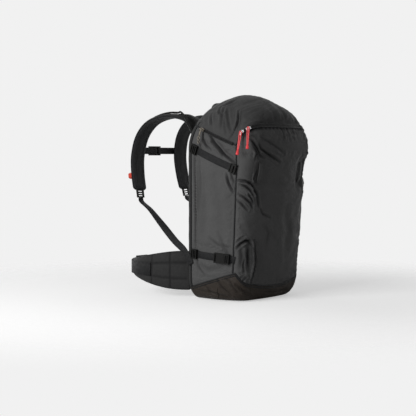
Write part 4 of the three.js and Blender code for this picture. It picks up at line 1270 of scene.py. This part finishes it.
        ring = np.linspace(0.5, 8.5, 321)
        seams = {
            "lid_piping": (ring, FORM.follow(lid, ring) - 0.3),
            "base_piping": (ring, FORM.follow(base, ring)),
            "base_piping_lower": (ring, FORM.follow(base, ring) - 5.5),
        }
        for hand, name in ((-1, "left"), (1, "right")):
            z = np.linspace(81, 432, 120)
            seams["side_piping_" + name] = (FORM.seam_around(FORM.side_line, z, hand), z)
            z = np.linspace(33, 500, 120)
            seams["back_piping_" + name] = (FORM.seam_around(FORM.back_line, z, hand), z)
        sewing = []
        for name, (around, z) in seams.items():
            middle = FORM.point(around, z) + FORM.normal(around, z) * -0.6
            size = 1.9 if name.startswith("base") else self.piping
            fit(cord_piece(name, middle, size, wardrobe.piping, 8), "pack", "shell_cloth")
            if name.startswith("side"):
                shift = 0.06 if "left" in name else -0.06
                sewing.append(FORM.point(around + shift, z) + FORM.normal(around + shift, z) * 0.1)
            if name in ("lid_piping", "base_piping"):
                drawn = z - 8 if name == "lid_piping" else z + 8
                sewing.append(FORM.point(around, drawn) + FORM.normal(around, drawn) * 0.1)
        for z in (448.0, 443.0):
            around = np.linspace(4.4, 5.3, 60)
            sewing.append(FORM.point(around, z + 0 * around) + FORM.normal(around, z + 0 * around) * 0.15)
        stitches("seam_stitches", sewing, wardrobe.thread, "pack", "shell_cloth")


# ---------------------------------------------------------------- zips and webbing on the shell
@dataclass(frozen=True)
class Zips:
    """The long front zip with its red cord pulls, and the airbag zip on the left with its bronze rings."""

    width: float = 12.0
    airbag_width: float = 9.0
    thick: float = 1.6
    slit: float = 0.7
    stitch_inset: float = 1.4
    main_start: tuple[float, float] = (-82.0, 461.0)
    airbag_start: tuple[float, float] = (62.0, 478.0)
    airbag_end: tuple[float, float] = (-65.0, 433.0)
    grip_length: float = 17.0
    cord_radius: float = 1.5

    def build(self, wardrobe: Wardrobe) -> None:
        """Lays the zip tapes and moulds the ends of the pulls.

        Args:
            wardrobe: the finishes.
        """
        seam = FORM.seam_z(FORM.zip_line)
        first = float(FORM.side_around(*self.main_start, -1))
        around = np.linspace(first, 9 - first, 160)
        self.tape(wardrobe, "main_zip_tape", around, np.interp(around, PLACES, seam), self.width, "main_zip")
        first = float(FORM.side_around(*self.airbag_start, -1))
        last = float(FORM.side_around(*self.airbag_end, -1))
        seam = FORM.seam_z(FORM.airbag_zip_line)
        around = np.linspace(first, last, 70)
        z = np.interp(around, PLACES, seam)
        self.tape(wardrobe, "airbag_zip_tape", around, z, self.airbag_width, "airbag_zip")
        for which in ("rear", "front"):
            self.grip(wardrobe, "zip_pull_" + which)
        self.rings(wardrobe)

    def tape(self, wardrobe: Wardrobe, name: str, around: Array, z: Array, width: float, node: str) -> None:
        """Lays one zip, slit down the middle, with a row of stitching along each edge.

        Args:
            wardrobe: the finishes.
            name: the piece's name.
            around: places round the section.
            z: their heights.
            width: its width.
            node: the CAD node that the piece stands for.
        """
        middle, across, out = FORM.strip(around, z, FORM.lift + self.thick / 2)
        outline = flat_outline(width, self.thick, self.slit)
        fit(sweep(name, middle, across, out, outline, [wardrobe.tape]), "pack", "zip_tape", node)
        edges = [middle + across * side * (width / 2 - self.stitch_inset) + out * (self.thick / 2 + 0.1) for side in (-1, 1)]
        stitches(name + "_stitches", edges, wardrobe.thread, "pack", "zip_tape")

    def grip(self, wardrobe: Wardrobe, node: str) -> None:
        """Bends a pull's doubled cord and moulds the flared end that it runs into.

        Args:
            wardrobe: the finishes.
            node: the pull's CAD node.
        """
        points = FORM.measure(np.array([v.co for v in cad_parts[node].data.vertices]))
        head = points[points[:, 2] > points[:, 2].max() - 3].mean(0)
        foot = points[points[:, 2] < points[:, 2].min() + 3].mean(0)
        along = unit(foot - head)
        out = unit(np.array([-0.8, -0.6, 0.0]) - np.dot([-0.8, -0.6, 0.0], along) * along)
        across = np.cross(along, out)
        reach = np.linalg.norm(foot - head)
        walk = np.array([0.0, 1.6, 7.0, 20.0, 38.0, reach - 12])
        apart = np.array([0.0, 1.9, 2.5, 2.1, 1.7, 1.2])
        right = head + along * walk[:, None] + across * apart[:, None]
        left = head + along * walk[:, None] - across * apart[:, None]
        cord = Route(tuple(map(tuple, np.vstack([left[::-1], right[1:]])))).sample(90)
        made = cord_piece(node + "_cord", cord, self.cord_radius, wardrobe.cord, 10)
        fit(made, node, "pull_cord", node)
        share = np.linspace(0, 1, 16)
        middle = foot + along * (1.2 - self.grip_length * (1 - share))[:, None]
        close = np.sqrt(np.clip(1 - ((share - 0.88) / 0.12).clip(0) ** 2 * 0.85, 0.1, 1))
        flare = lerp(2.6, 4.4, smooth(share * 1.15)) * close
        outline = np.stack([round_outline(size, 14) * [1.0, 0.72] for size in flare])
        ones = np.ones((16, 1))
        made = sweep(node + "_grip", middle, across * ones, out * ones, outline, [wardrobe.grip])
        fit(made, node, "pull_cord")

    def rings(self, wardrobe: Wardrobe) -> None:
        """Hangs two linked split rings on the airbag slider's tab.

        Args:
            wardrobe: the finishes.
        """
        low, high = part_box("airbag_slider_tab")
        top = FORM.measure(np.array([low.x, (low.y + high.y) / 2, low.z]))
        turn = np.linspace(0, 2 * np.pi, 37)
        for number, (drop, size) in enumerate(((1.5, 4.2), (-7.5, 5.4))):
            flat = np.array([0.0, 1.0, 0.0]) if number == 0 else unit(np.array([0.45, 1.0, 0.0]))
            circle = np.cos(turn)[:, None] * flat + np.sin(turn)[:, None] * np.array([0.0, 0.0, 1.0])
            middle = top + [-0.6, 0.0, drop - size + 2] + circle * size
            ring = cord_piece(f"airbag_slider_ring_{number + 1}", middle, 0.8, wardrobe.bronze, 8)
            fit(ring, "airbag_slider_tab", "slider_metal")


@dataclass(frozen=True)
class Straps:
    """Compression webbing on both sides, the tool loops and the haul loop."""

    width: float = 20.0
    thick: float = 1.8
    loop_width: float = 12.0
    loop_ends: tuple[float, float] = (386.0, 330.0)
    loop_bow: float = 5.0
    haul_width: float = 18.0
    haul_thick: float = 3.4
    haul_half: tuple[tuple[float, float, float], ...] = ((38, -0.4, 0), (37.5, 1.4, 14), (27, 4, 29), (12, 5, 36))
    haul_foot: float = 520.0
    anchor_line: Line = ((104.2, 474), (99.8, 490), (94.6, 504), (89.4, 516))
    upper_run: tuple[Line, float, float] = (((84, 428), (-60, 372)), 0.0, 1 - 4.6 / 154.5)
    lower_run: tuple[Line, float, float] = (((84, 130), (-84, 117)), 0.0, 119 / 168.5)
    tail_run: tuple[Line, float, float] = (((84, 130), (-84, 117)), 125 / 168.5, 1.0)

    def build(self, wardrobe: Wardrobe) -> None:
        """Lays all the webbing that is sewn to the shell.

        Args:
            wardrobe: the finishes.
        """
        outline = flat_outline(self.width, self.thick)
        for side, name in ((-1, "left"), (1, "right")):
            runs = {"upper_strap_": self.upper_run, "lower_strap_": self.lower_run, "lower_tail_": self.tail_run}
            for kind, ((start, end), low, high) in runs.items():
                t = np.linspace(low, high, 50)
                y, z = (lerp(start[k], end[k], t) for k in (0, 1))
                around = FORM.side_around(y, z, side)
                middle, across, out = FORM.strip(around, z, FORM.lift + self.thick / 2)
                node = kind + name
                made = sweep(kind + "webbing_" + name, middle, across, out, outline, [wardrobe.webbing])
                fit(made, "pack", "webbing", node)
                if kind != "lower_tail_":
                    box = [middle[:6] + across[:6] * k + out[:6] * 1.0 for k in (-7.5, 0, 7.5)]
                    stitches(kind + "tack_" + name, box, wardrobe.thread, "pack", "webbing")
            z = np.linspace(*self.loop_ends, 30)
            t = np.linspace(0, 1, 30)
            around = np.full(30, 4.06 if side < 0 else 4.94)
            middle, across, out = FORM.strip(around, z, 1.3)
            middle = middle + out * self.loop_bow * (np.sin(np.pi * t) ** 0.7)[:, None]
            loop = sweep("tool_loop_web_" + name, middle, across, out, flat_outline(self.loop_width, self.thick),
                         [wardrobe.shell])
            fit(loop, "pack", "webbing", "tool_loop_" + name)
        self.haul(wardrobe)

    def haul(self, wardrobe: Wardrobe) -> None:
        """Bends the haul loop from doubled webbing.

        Args:
            wardrobe: the finishes.
        """
        y0 = float(FORM.point(0.5, self.haul_foot)[1]) + 9
        whole = [(-x, y, z) for x, y, z in self.haul_half] + [(x, y, z) for x, y, z in self.haul_half[::-1]]
        middle = Route(tuple((x, y0 + y, self.haul_foot + z) for x, y, z in whole)).sample(48)
        along = unit(np.gradient(middle, axis=0))
        across = np.tile([0.0, 1.0, 0.0], (48, 1))
        across = unit(across - (across * along).sum(1, keepdims=True) * along)
        outline = flat_outline(self.haul_width, self.haul_thick)
        made = sweep("haul_loop_webbing", middle, across, np.cross(along, across), outline, [wardrobe.webbing])
        fit(made, "haul_loop", "webbing", "haul_loop")
        for side, name in ((-1, "left"), (1, "right")):
            middle = Route(tuple((side * self.haul_half[0][0], y, z) for y, z in self.anchor_line)).sample(24)
            along = unit(np.gradient(middle, axis=0))
            across = np.tile([1.0, 0.0, 0.0], (24, 1))
            out = np.cross(across, along)
            made = sweep("haul_anchor_" + name, middle, across, out, outline, [wardrobe.webbing])
            fit(made, "pack", "webbing")
            rows = [middle[2:14] + across[2:14] * k - out[2:14] * 1.8 for k in (-7, 7)]
            stitches("haul_anchor_stitches_" + name, rows, wardrobe.thread, "pack", "webbing")


# ---------------------------------------------------------------- harness
def beside(curve: Route, start: float, end: float, across: Array, gap: float, count: int) -> Array:
    """Points that run beside a curve, moved off its face by a gap.

    Args:
        curve: the curve.
        start: share of its length that they start at.
        end: share that they end at.
        across: the curve's direction across.
        gap: how far off its face.
        count: how many points.

    Returns:
        The points.
    """
    middle = curve.sample(count, start, end)
    whole = curve.sample(401)
    along = unit(np.gradient(whole, axis=0))
    picked = along[np.rint(np.linspace(start, end, count) * 400).astype(int)]
    return middle + np.cross(picked, across) * gap


@dataclass(frozen=True)
class PadCut:
    """A padded piece: foam between a cloth face and a mesh face, bound at its edge and quilted in channels."""

    name: str
    squareness: float = 3.0
    sides: int = 40
    round_end: float = 9.0
    binding: float = 2.0
    channels: tuple[float, ...] = (-0.5, 0.5)
    channel_depth: float = 2.0

    def build(
        self, wardrobe: Wardrobe, middle: Array, across: Array, out: Array, width: Array, thick: Array,
        quilting: tuple[float, ...], faces: tuple[str, str],
    ) -> tuple[Piece, Piece]:
        """Shapes the pad and its edge binding.

        Args:
            wardrobe: the finishes.
            middle: the pad's middle line.
            across: its direction across at each point.
            out: its direction out of the cloth face.
            width: its full width at each point.
            thick: its full thickness at each point.
            quilting: places along it, in mm, where a sewn line crosses it.
            faces: the finish of the outer and of the inner face.

        Returns:
            The pad and its binding.
        """
        walked = lengths(middle)
        end = np.minimum(walked, walked[-1] - walked)
        taper = np.sqrt(np.clip(1 - (1 - np.clip(end / self.round_end, 0, 1)) ** 2, 0.02, 1))
        half = width / 2 - self.round_end * (1 - taper)
        angle = np.linspace(0, 2 * np.pi, self.sides, endpoint=False)
        power = 2 / self.squareness
        x = np.sign(np.cos(angle)) * np.abs(np.cos(angle)) ** power
        y = np.sign(np.sin(angle)) * np.abs(np.sin(angle)) ** (power * 1.1)
        dip = np.zeros((len(middle), self.sides))
        for channel in self.channels:
            dip = np.maximum(dip, np.exp(-((x[None] - channel) * half[:, None] / 2.6) ** 2))
        for place in quilting:
            dip = np.maximum(dip, np.exp(-((walked[:, None] - place) / 2.6) ** 2))
        dip *= (np.abs(y) > 0.3)[None] * smooth((end[:, None] - 6) / 8)
        flat = (thick / 2 * lerp(0.35, 1, taper))[:, None] * y[None]
        flat -= np.sign(y)[None] * dip * self.channel_depth
        outline = np.stack([half[:, None] * x[None], flat], axis=-1)
        patch = (np.sin(angle + np.pi / self.sides) < 0).astype(int)
        materials = [getattr(wardrobe, face) for face in faces]
        # The quilted channels and seams also darken the colour through the fold attribute, as painted shade.
        pad = sweep(self.name, middle, across, out, outline, materials, patch, 0.5 * dip)
        rim = np.vstack([middle + across * half[:, None], (middle - across * half[:, None])[::-1]])
        rim = np.vstack([rim, rim[:2]])
        return pad, cord_piece(self.name + "_binding", rim, self.binding, wardrobe.piping, 8)


@dataclass(frozen=True)
class Harness:
    """Shoulder straps, load lifters, hip wings, back pad, sternum strap and hip webbing."""

    yoke_y: float = 129.8
    yoke_z: float = 432.0
    pad_thick: float = 14.0
    back_thick: float = 14.0
    web: float = 20.0
    belt_web: float = 38.0
    web_thick: float = 1.8
    belt_thick: float = 16.0
    strap_widths: tuple[float, float] = (62.0, 52.0)
    wing_widths: tuple[float, float] = (108.0, 40.0)
    back_quilting: tuple[float, ...] = (70.0, 150.0, 230.0, 310.0, 380.0)
    wing_quilting: tuple[float, ...] = (60.0, 118.0)
    back_face: float = 108.4
    chest_web: float = 86.0
    belt_z: float = 76.0
    chest_z: float = 420.0
    strap_line: tuple = (
        (56, 0.6, 0), (57, 1.4, 20), (59, 5, 43), (64, 25, 74), (71, 68, 88), (79, 115, 86), (86, 160, 68),
        (92, 192, 30), (97, 206, -27), (101, 202, -82), (104, 192, -127),
    )
    wing_line: tuple = (
        (112, 116.4, 0), (126, 142, 0), (147, 190, 0), (156, 240, 1), (145, 292, 2), (124, 325, 3), (94, 345, 4),
    )
    back_line: tuple = ((46, 90), (60, 98), (150, 98), (458, 90), (476, 78))

    def strap(self, side: int) -> Route:
        """Middle line of a shoulder strap."""
        points = ((side * x, self.yoke_y + out, self.yoke_z + up) for x, out, up in self.strap_line)
        return Route(tuple(points))

    def build(self, wardrobe: Wardrobe) -> None:
        """Makes the harness.

        Args:
            wardrobe: the finishes.
        """
        self.back_pad(wardrobe)
        for side, name in ((-1, "left"), (1, "right")):
            self.shoulder(wardrobe, side, name)
            self.lifter(wardrobe, side, name)
            self.lower_webbing(wardrobe, side, name)
            self.wing(wardrobe, side, name)
            self.chest(wardrobe, side, name)

    def back_pad(self, wardrobe: Wardrobe) -> None:
        """Quilts the back pad, mesh on both faces.

        Args:
            wardrobe: the finishes.
        """
        drawn = np.array(self.back_line, float)
        z = np.linspace(drawn[0, 0], drawn[-1, 0], 130)
        middle = np.stack([0 * z, 0 * z + self.back_face + self.back_thick / 2, z], axis=1)
        across, out = np.tile([-1.0, 0, 0], (130, 1)), np.tile([0, 1.0, 0], (130, 1))
        width = 2 * np.interp(z, drawn[:, 0], drawn[:, 1])
        cut = PadCut("back_pad_quilted", 5.0, 64, 9.0, 2.0, (-0.34, 0.34), 3.0)
        thick = np.full(130, self.back_thick)
        pad, rim = cut.build(wardrobe, middle, across, out, width, thick, self.back_quilting, ("mesh", "mesh"))
        fit(pad, "pack", "spacer_mesh", "back_pad", fullness=0.9)
        fit(rim, "pack", "shell_cloth")

    def shoulder(self, wardrobe: Wardrobe, side: int, name: str) -> None:
        """Shapes one shoulder strap: cloth outside, mesh against the wearer.

        Args:
            wardrobe: the finishes.
            side: -1 for the left, 1 for the right.
            name: left or right, for the pieces' names.
        """
        middle = self.strap(side).sample(120)
        along = unit(np.gradient(middle, axis=0))
        across = unit(np.array([1.0, 0, 0]) - along[:, :1] * along)
        out = np.cross(across, along)
        t = np.linspace(0, 1, 120)
        width, thick = lerp(*self.strap_widths, t), np.full(120, self.pad_thick)
        cut = PadCut("shoulder_pad_" + name, 3.2, 40, 8.0, 2.0, (-0.42, 0.42), 1.8)
        if out[60, 2] < 0:
            out, across = -out, -across
        pad, rim = cut.build(wardrobe, middle, across, out, width, thick, (), ("pad", "mesh"))
        fit(pad, "pack", "harness_pad", "shoulder_strap_" + name, fullness=0.9)
        fit(rim, "pack", "harness_pad")
        face = middle + out * (self.pad_thick / 2 - 1.2)
        lines = [face[10:110] + across[10:110] * k for k in (-11.8, 11.8)]
        stitches("shoulder_stitches_" + name, lines, wardrobe.thread, "pack", "harness_pad")

    def lifter(self, wardrobe: Wardrobe, side: int, name: str) -> None:
        """Runs the load lifter from the pack's shoulder to the strap.

        Args:
            wardrobe: the finishes.
            side: -1 for the left, 1 for the right.
            name: left or right, for the pieces' names.
        """
        head = np.array([side * 62, 110.5, 497.0])
        tail = beside(self.strap(side), 0.23, 0.28, np.array([-1.0, 0, 0]), 8.3, 3)
        tail[0, 2] += 3
        middle = Route(tuple(map(tuple, np.vstack([head, head + [0, 11.5, 9], tail])))).sample(40)
        self.web_run(wardrobe, "load_lifter_webbing_" + name, middle, np.array([1.0, 0, 0]), self.web, "pack",
                     "load_lifter_" + name)

    def web_run(self, wardrobe: Wardrobe, name: str, middle: Array, axis: Array, width: float, body: str,
                node: str) -> None:
        """Runs webbing along a line, as flat across an axis as the line lets it lie.

        Args:
            wardrobe: the finishes.
            name: the piece's name.
            middle: the line's points.
            axis: the axis, for the whole line or for each point.
            width: its width.
            body: the body that the webbing rides on.
            node: the CAD node that the piece stands for.
        """
        along = unit(np.gradient(middle, axis=0))
        axis = np.broadcast_to(axis, middle.shape)
        across = unit(axis - (axis * along).sum(1, keepdims=True) * along)
        outline = flat_outline(width, self.web_thick)
        made = sweep(name, middle, across, np.cross(along, across), outline, [wardrobe.webbing])
        fit(made, body, "webbing", node)

    def lower_webbing(self, wardrobe: Wardrobe, side: int, name: str) -> None:
        """Runs the adjusting webbing from the strap's foot round to the pack's flank.

        Args:
            wardrobe: the finishes.
            side: -1 for the left, 1 for the right.
            name: left or right, for the pieces' names.
        """
        curve = self.strap(side)
        end = np.array(curve.points[-1])
        down = unit(np.diff(curve.sample(2001, 0.99, 1.0), axis=0)[-1])
        face = np.cross(down, [1.0, 0, 0])
        lock = end + down * 12.4 + face * 3
        head = lock + down * 12.8 - face * 3
        wall = side * 148.5
        foot = np.array([[wall - side, 112, 136], [wall, 96, 116], [wall, 86, 98]])
        mids = [lerp(head, foot[0], t) + [0, 0, -6 * t] for t in (0.22, 0.48, 0.8)]
        middle = Route(tuple(map(tuple, np.vstack([head, head + down * 9, mids, foot])))).sample(90)
        t = smooth(np.linspace(0, 1, 90))[:, None]
        axis = np.array([1.0, 0, 0]) * (1 - t) + side * np.array([0, 0.75, -0.66]) * t
        self.web_run(wardrobe, "strap_adjuster_webbing_" + name, middle, axis, self.web, "pack",
                     "strap_webbing_" + name)

    def wing(self, wardrobe: Wardrobe, side: int, name: str) -> None:
        """Shapes one hip wing and its webbing.

        Args:
            wardrobe: the finishes.
            side: -1 for the left, 1 for the right.
            name: left or right, for the pieces' names.
        """
        curve = Route(tuple((side * x, y, self.belt_z + up) for x, y, up in self.wing_line))
        middle = curve.sample(130)
        along = unit(np.gradient(middle, axis=0))
        t = np.linspace(0, 1, 130)
        across = unit(np.array([0, 0, 1.0]) - along[:, 2:] * along)
        out = np.cross(along, across) * side
        width, thick = lerp(*self.wing_widths, smooth(1.1 * t - 0.1)), self.belt_thick - 4 * t
        cut = PadCut("hip_pad_" + name, 3.2, 48, 8.0, 2.2, (-0.42, 0.42), 2.0)
        pad, rim = cut.build(wardrobe, middle, across, out, width, thick, self.wing_quilting, ("pad", "mesh"))
        body = "belt_" + name
        fit(pad, body, "harness_pad", "hip_wing_" + name, fullness=0.9)
        fit(rim, body, "harness_pad")
        outer = beside(curve, 0.46, 1, np.array([0, 0, side]), self.belt_thick / 2 + self.web_thick / 2 - 0.4, 14)
        last = outer[-1]
        half = np.array([side * 25, last[1] + 8, last[2]])
        finish = half + [side * ((46.3 if side < 0 else 16) + 0.8), 4, 0]
        bend = lerp(finish, last, 0.35) + [0, 1.5, 0]
        web = Route(tuple(map(tuple, np.vstack([outer, bend, finish])))).sample(90)
        self.web_run(wardrobe, "hip_belt_webbing_" + name, web, np.array([0, 0, 1.0]), self.belt_web, body,
                     "hip_webbing_" + name)

    def chest(self, wardrobe: Wardrobe, side: int, name: str) -> None:
        """Lays one half of the sternum webbing.

        Args:
            wardrobe: the finishes.
            side: -1 for the left, 1 for the right.
            name: left or right, for the pieces' names.
        """
        y = self.yoke_y + 205.7 + self.pad_thick / 2 + 0.4 + self.web_thick / 2
        x = side * 46 + np.linspace(-self.chest_web / 2, self.chest_web / 2, 30)
        middle = np.stack([x, 0 * x + y, 0 * x + self.chest_z], axis=1)
        self.web_run(wardrobe, "sternum_web_" + name, middle, np.array([0, 0, 1.0]), self.web, "chest_strap",
                     "sternum_webbing_" + name)


@dataclass(frozen=True)
class FoldedAirbag:
    """The airbag, pleated and packed into the dome over its shelf."""

    foot: float = 443.4
    head: float = 549.5
    inset: float = 15.0
    pleats: int = 9
    pleat_depth: float = 3.0

    def build(self, wardrobe: Wardrobe) -> None:
        """Pleats the bag.

        Args:
            wardrobe: the finishes.
        """
        around, v = np.meshgrid(np.linspace(0, 8, 145)[:-1], np.linspace(0, 1, 60))
        z = lerp(self.foot, self.head, v)
        wall = FORM.point(around, np.maximum(z, self.foot + 9))
        middle = np.array([0.0, -60.0, 0.0])
        spread = wall - middle
        reach = np.linalg.norm(spread[..., :2], axis=-1)
        pleat = self.pleat_depth * (1 + np.sin(2 * np.pi * self.pleats * v + 0.6 * np.sin(around * 3)))
        share = np.clip((reach - self.inset - pleat) / reach, 0.05, 1) * 0.93
        points = middle + spread * share[..., None]
        points[..., 1] = np.minimum(points[..., 1], 62)
        points[..., 2] = z
        u = lengths(np.concatenate([points, points[:, :1]], axis=1))
        uv = np.stack([u, np.broadcast_to(z[:, :1], u.shape)], axis=-1)
        shade = 0.5 * pleat / (2 * self.pleat_depth)
        made = cloth_mesh("airbag_pleated", points, uv, [wardrobe.airbag], shade, True, None, True)
        fit(made, "pack", "airbag_nylon", "airbag_folded", fullness=0.5)


# ---------------------------------------------------------------- hardware
@dataclass(frozen=True)
class Hardware:
    """The moulded, cast and turned pieces, dressed with a softened edge."""

    edge: float = 0.5

    def build(self, wardrobe: Wardrobe) -> None:
        """Dresses every CAD piece that still shows.

        Args:
            wardrobe: the finishes.
        """
        finishes = {
            "strap_adjuster": "acetal", "inflator_head": "acetal", "air_cylinder": "alloy", "frame_sheet": "sheet",
            "trigger_lever": "zinc", "airbag_shelf": "sheet", "trigger_cable": "acetal",
            "trigger_handle": "trigger", "sternum": "acetal", "hip_socket": "acetal", "hip_plug": "acetal",
            "main_slider": "zinc", "zip_pull": "cord", "airbag_slider": "bronze", "upper_lock": "acetal",
            "upper_hook": "acetal", "lower_lock": "acetal", "lower_socket": "acetal", "lower_plug": "acetal",
        }
        for node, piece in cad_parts.items():
            if piece.hide_render:
                continue
            finish = next((f for start, f in finishes.items() if node.startswith(start)), "acetal")
            piece.data.materials.clear()
            piece.data.materials.append(getattr(wardrobe, finish))
            bevel = piece.modifiers.new("softened_edge", "BEVEL")
            bevel.width = self.edge * MM
            bevel.segments = 2
            bevel.limit_method = "ANGLE"
            bevel.angle_limit = math.radians(38)
            normals = piece.modifiers.new("even_normals", "WEIGHTED_NORMAL")
            normals.keep_sharp = True
            LOG.info("%s: %s", node, finish)


# ---------------------------------------------------------------- studio
@dataclass(frozen=True)
class Studio:
    """Pale paper floor, a broad soft lamp on the wearer's left, and the camera."""

    azimuth: float = -53.0
    elevation: float = 2.0
    distance: float = 3.32
    lens: float = 100.0
    sensor: float = 36.0
    aim_height: float = 0.288
    shift: tuple[float, float] = (-43.5 / 416, -11.5 / 416)
    backdrop: str = "f1f1f1"
    key_watts: float = 50.0
    key_azimuth: float = -98.0
    key_elevation: float = 14.0
    key_size: float = 1.5
    key_away: float = 2.6
    fill_watts: float = 20.0
    fill_right_share: float = 0.6
    fill_elevation: float = 6.0
    fill_size: float = 2.0
    fill_away: float = 3.0
    floor_radius: float = 1.9
    floor_sides: int = 64
    sky: float = 0.15

    def toward(self, azimuth: float, elevation: float) -> Vector:
        """Direction at an azimuth and elevation in degrees, from the front of the pack."""
        a, e = math.radians(azimuth), math.radians(elevation)
        return Vector((math.sin(a) * math.cos(e), -math.cos(a) * math.cos(e), math.sin(e)))

    def aim(self) -> Vector:
        """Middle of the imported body.

        Returns:
            The point, in metres.
        """
        low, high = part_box("back_wall")
        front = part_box("front_panel")[0].y
        return Vector(((low.x + high.x) / 2, (front + high.y) / 2, self.aim_height))

    def camera(self) -> None:
        """Sets the camera."""
        data = bpy.data.cameras.new("camera")
        data.lens, data.sensor_width = self.lens, self.sensor
        data.shift_x, data.shift_y = self.shift
        made = bpy.data.objects.new("camera", data)
        bpy.context.scene.collection.objects.link(made)
        view = self.toward(self.azimuth, self.elevation)
        made.location = self.aim() + view * self.distance
        made.rotation_euler = (-view).to_track_quat("-Z", "Y").to_euler()
        bpy.context.scene.camera = made

    def lamp(self, name: str, azimuth: float, elevation: float, away: float, size: float, watts: float) -> None:
        """Hangs a square soft lamp that faces the pack.

        Args:
            name: the lamp's name.
            azimuth: degrees round the pack.
            elevation: degrees over the level.
            away: its distance, in metres.
            size: its side, in metres.
            watts: its power.
        """
        data = bpy.data.lights.new(name, "AREA")
        data.size, data.energy = size, watts
        made = bpy.data.objects.new(name, data)
        bpy.context.scene.collection.objects.link(made)
        way = self.toward(azimuth, elevation)
        made.location = self.aim() + way * away
        made.rotation_euler = (-way).to_track_quat("-Z", "Y").to_euler()

    def build(self) -> None:
        """Lays the floor, hangs the lamps and sets the world."""
        self.lamp("key_lamp", self.key_azimuth, self.key_elevation, self.key_away, self.key_size, self.key_watts)
        for name, azimuth, share in (("fill_lamp_right", 90.0, self.fill_right_share), ("fill_lamp_back", 170.0, 1.0)):
            self.lamp(name, azimuth, self.fill_elevation, self.fill_away, self.fill_size, self.fill_watts * share)
        world = bpy.data.worlds.new("studio")
        world.use_nodes = True
        tree = world.node_tree
        tree.nodes.clear()
        rays = add_node(tree, "LightPath")
        seen = add_node(tree, "Math", {0: rays.outputs["Is Camera Ray"], 1: rays.outputs["Is Glossy Ray"]},
                        operation="MAXIMUM")
        seen = add_node(tree, "Math", {0: seen, 1: rays.outputs["Is Transmission Ray"]}, operation="MAXIMUM")
        soft = add_node(tree, "Background", {"Color": linear(self.backdrop), "Strength": self.sky})
        back = add_node(tree, "Background", {"Color": linear(self.backdrop), "Strength": 1.0})
        both = add_node(tree, "MixShader", {0: seen, 1: soft, 2: back})
        add_node(tree, "OutputWorld", {"Surface": both})
        bpy.context.scene.world = world
        turn = np.linspace(0, 2 * np.pi, self.floor_sides + 1)[:-1]
        rim = [(self.floor_radius * math.cos(a), self.floor_radius * math.sin(a), -1.5 * MM) for a in turn]
        mesh = bpy.data.meshes.new("floor_paper")
        mesh.from_pydata(rim, [], [list(range(self.floor_sides))])
        floor = bpy.data.objects.new("floor_paper", mesh)
        mesh.materials.append(FloorPaper("floor_paper_matt", "ececec", 0.45, 1.3).material())
        bpy.context.scene.collection.objects.link(floor)
        bpy.context.scene.view_settings.view_transform = "Standard"


def main() -> None:
    """Builds the studio and the pack, in the order that they are sewn."""
    logging.basicConfig(level=logging.INFO, format="%(message)s")
    studio = Studio()
    studio.camera()
    wardrobe = Wardrobe.sewn()
    for part in (Shell(), Zips(), Straps(), Harness(), FoldedAirbag(), Hardware()):
        part.build(wardrobe)
    studio.build()


if __name__ == "__main__":
    main()
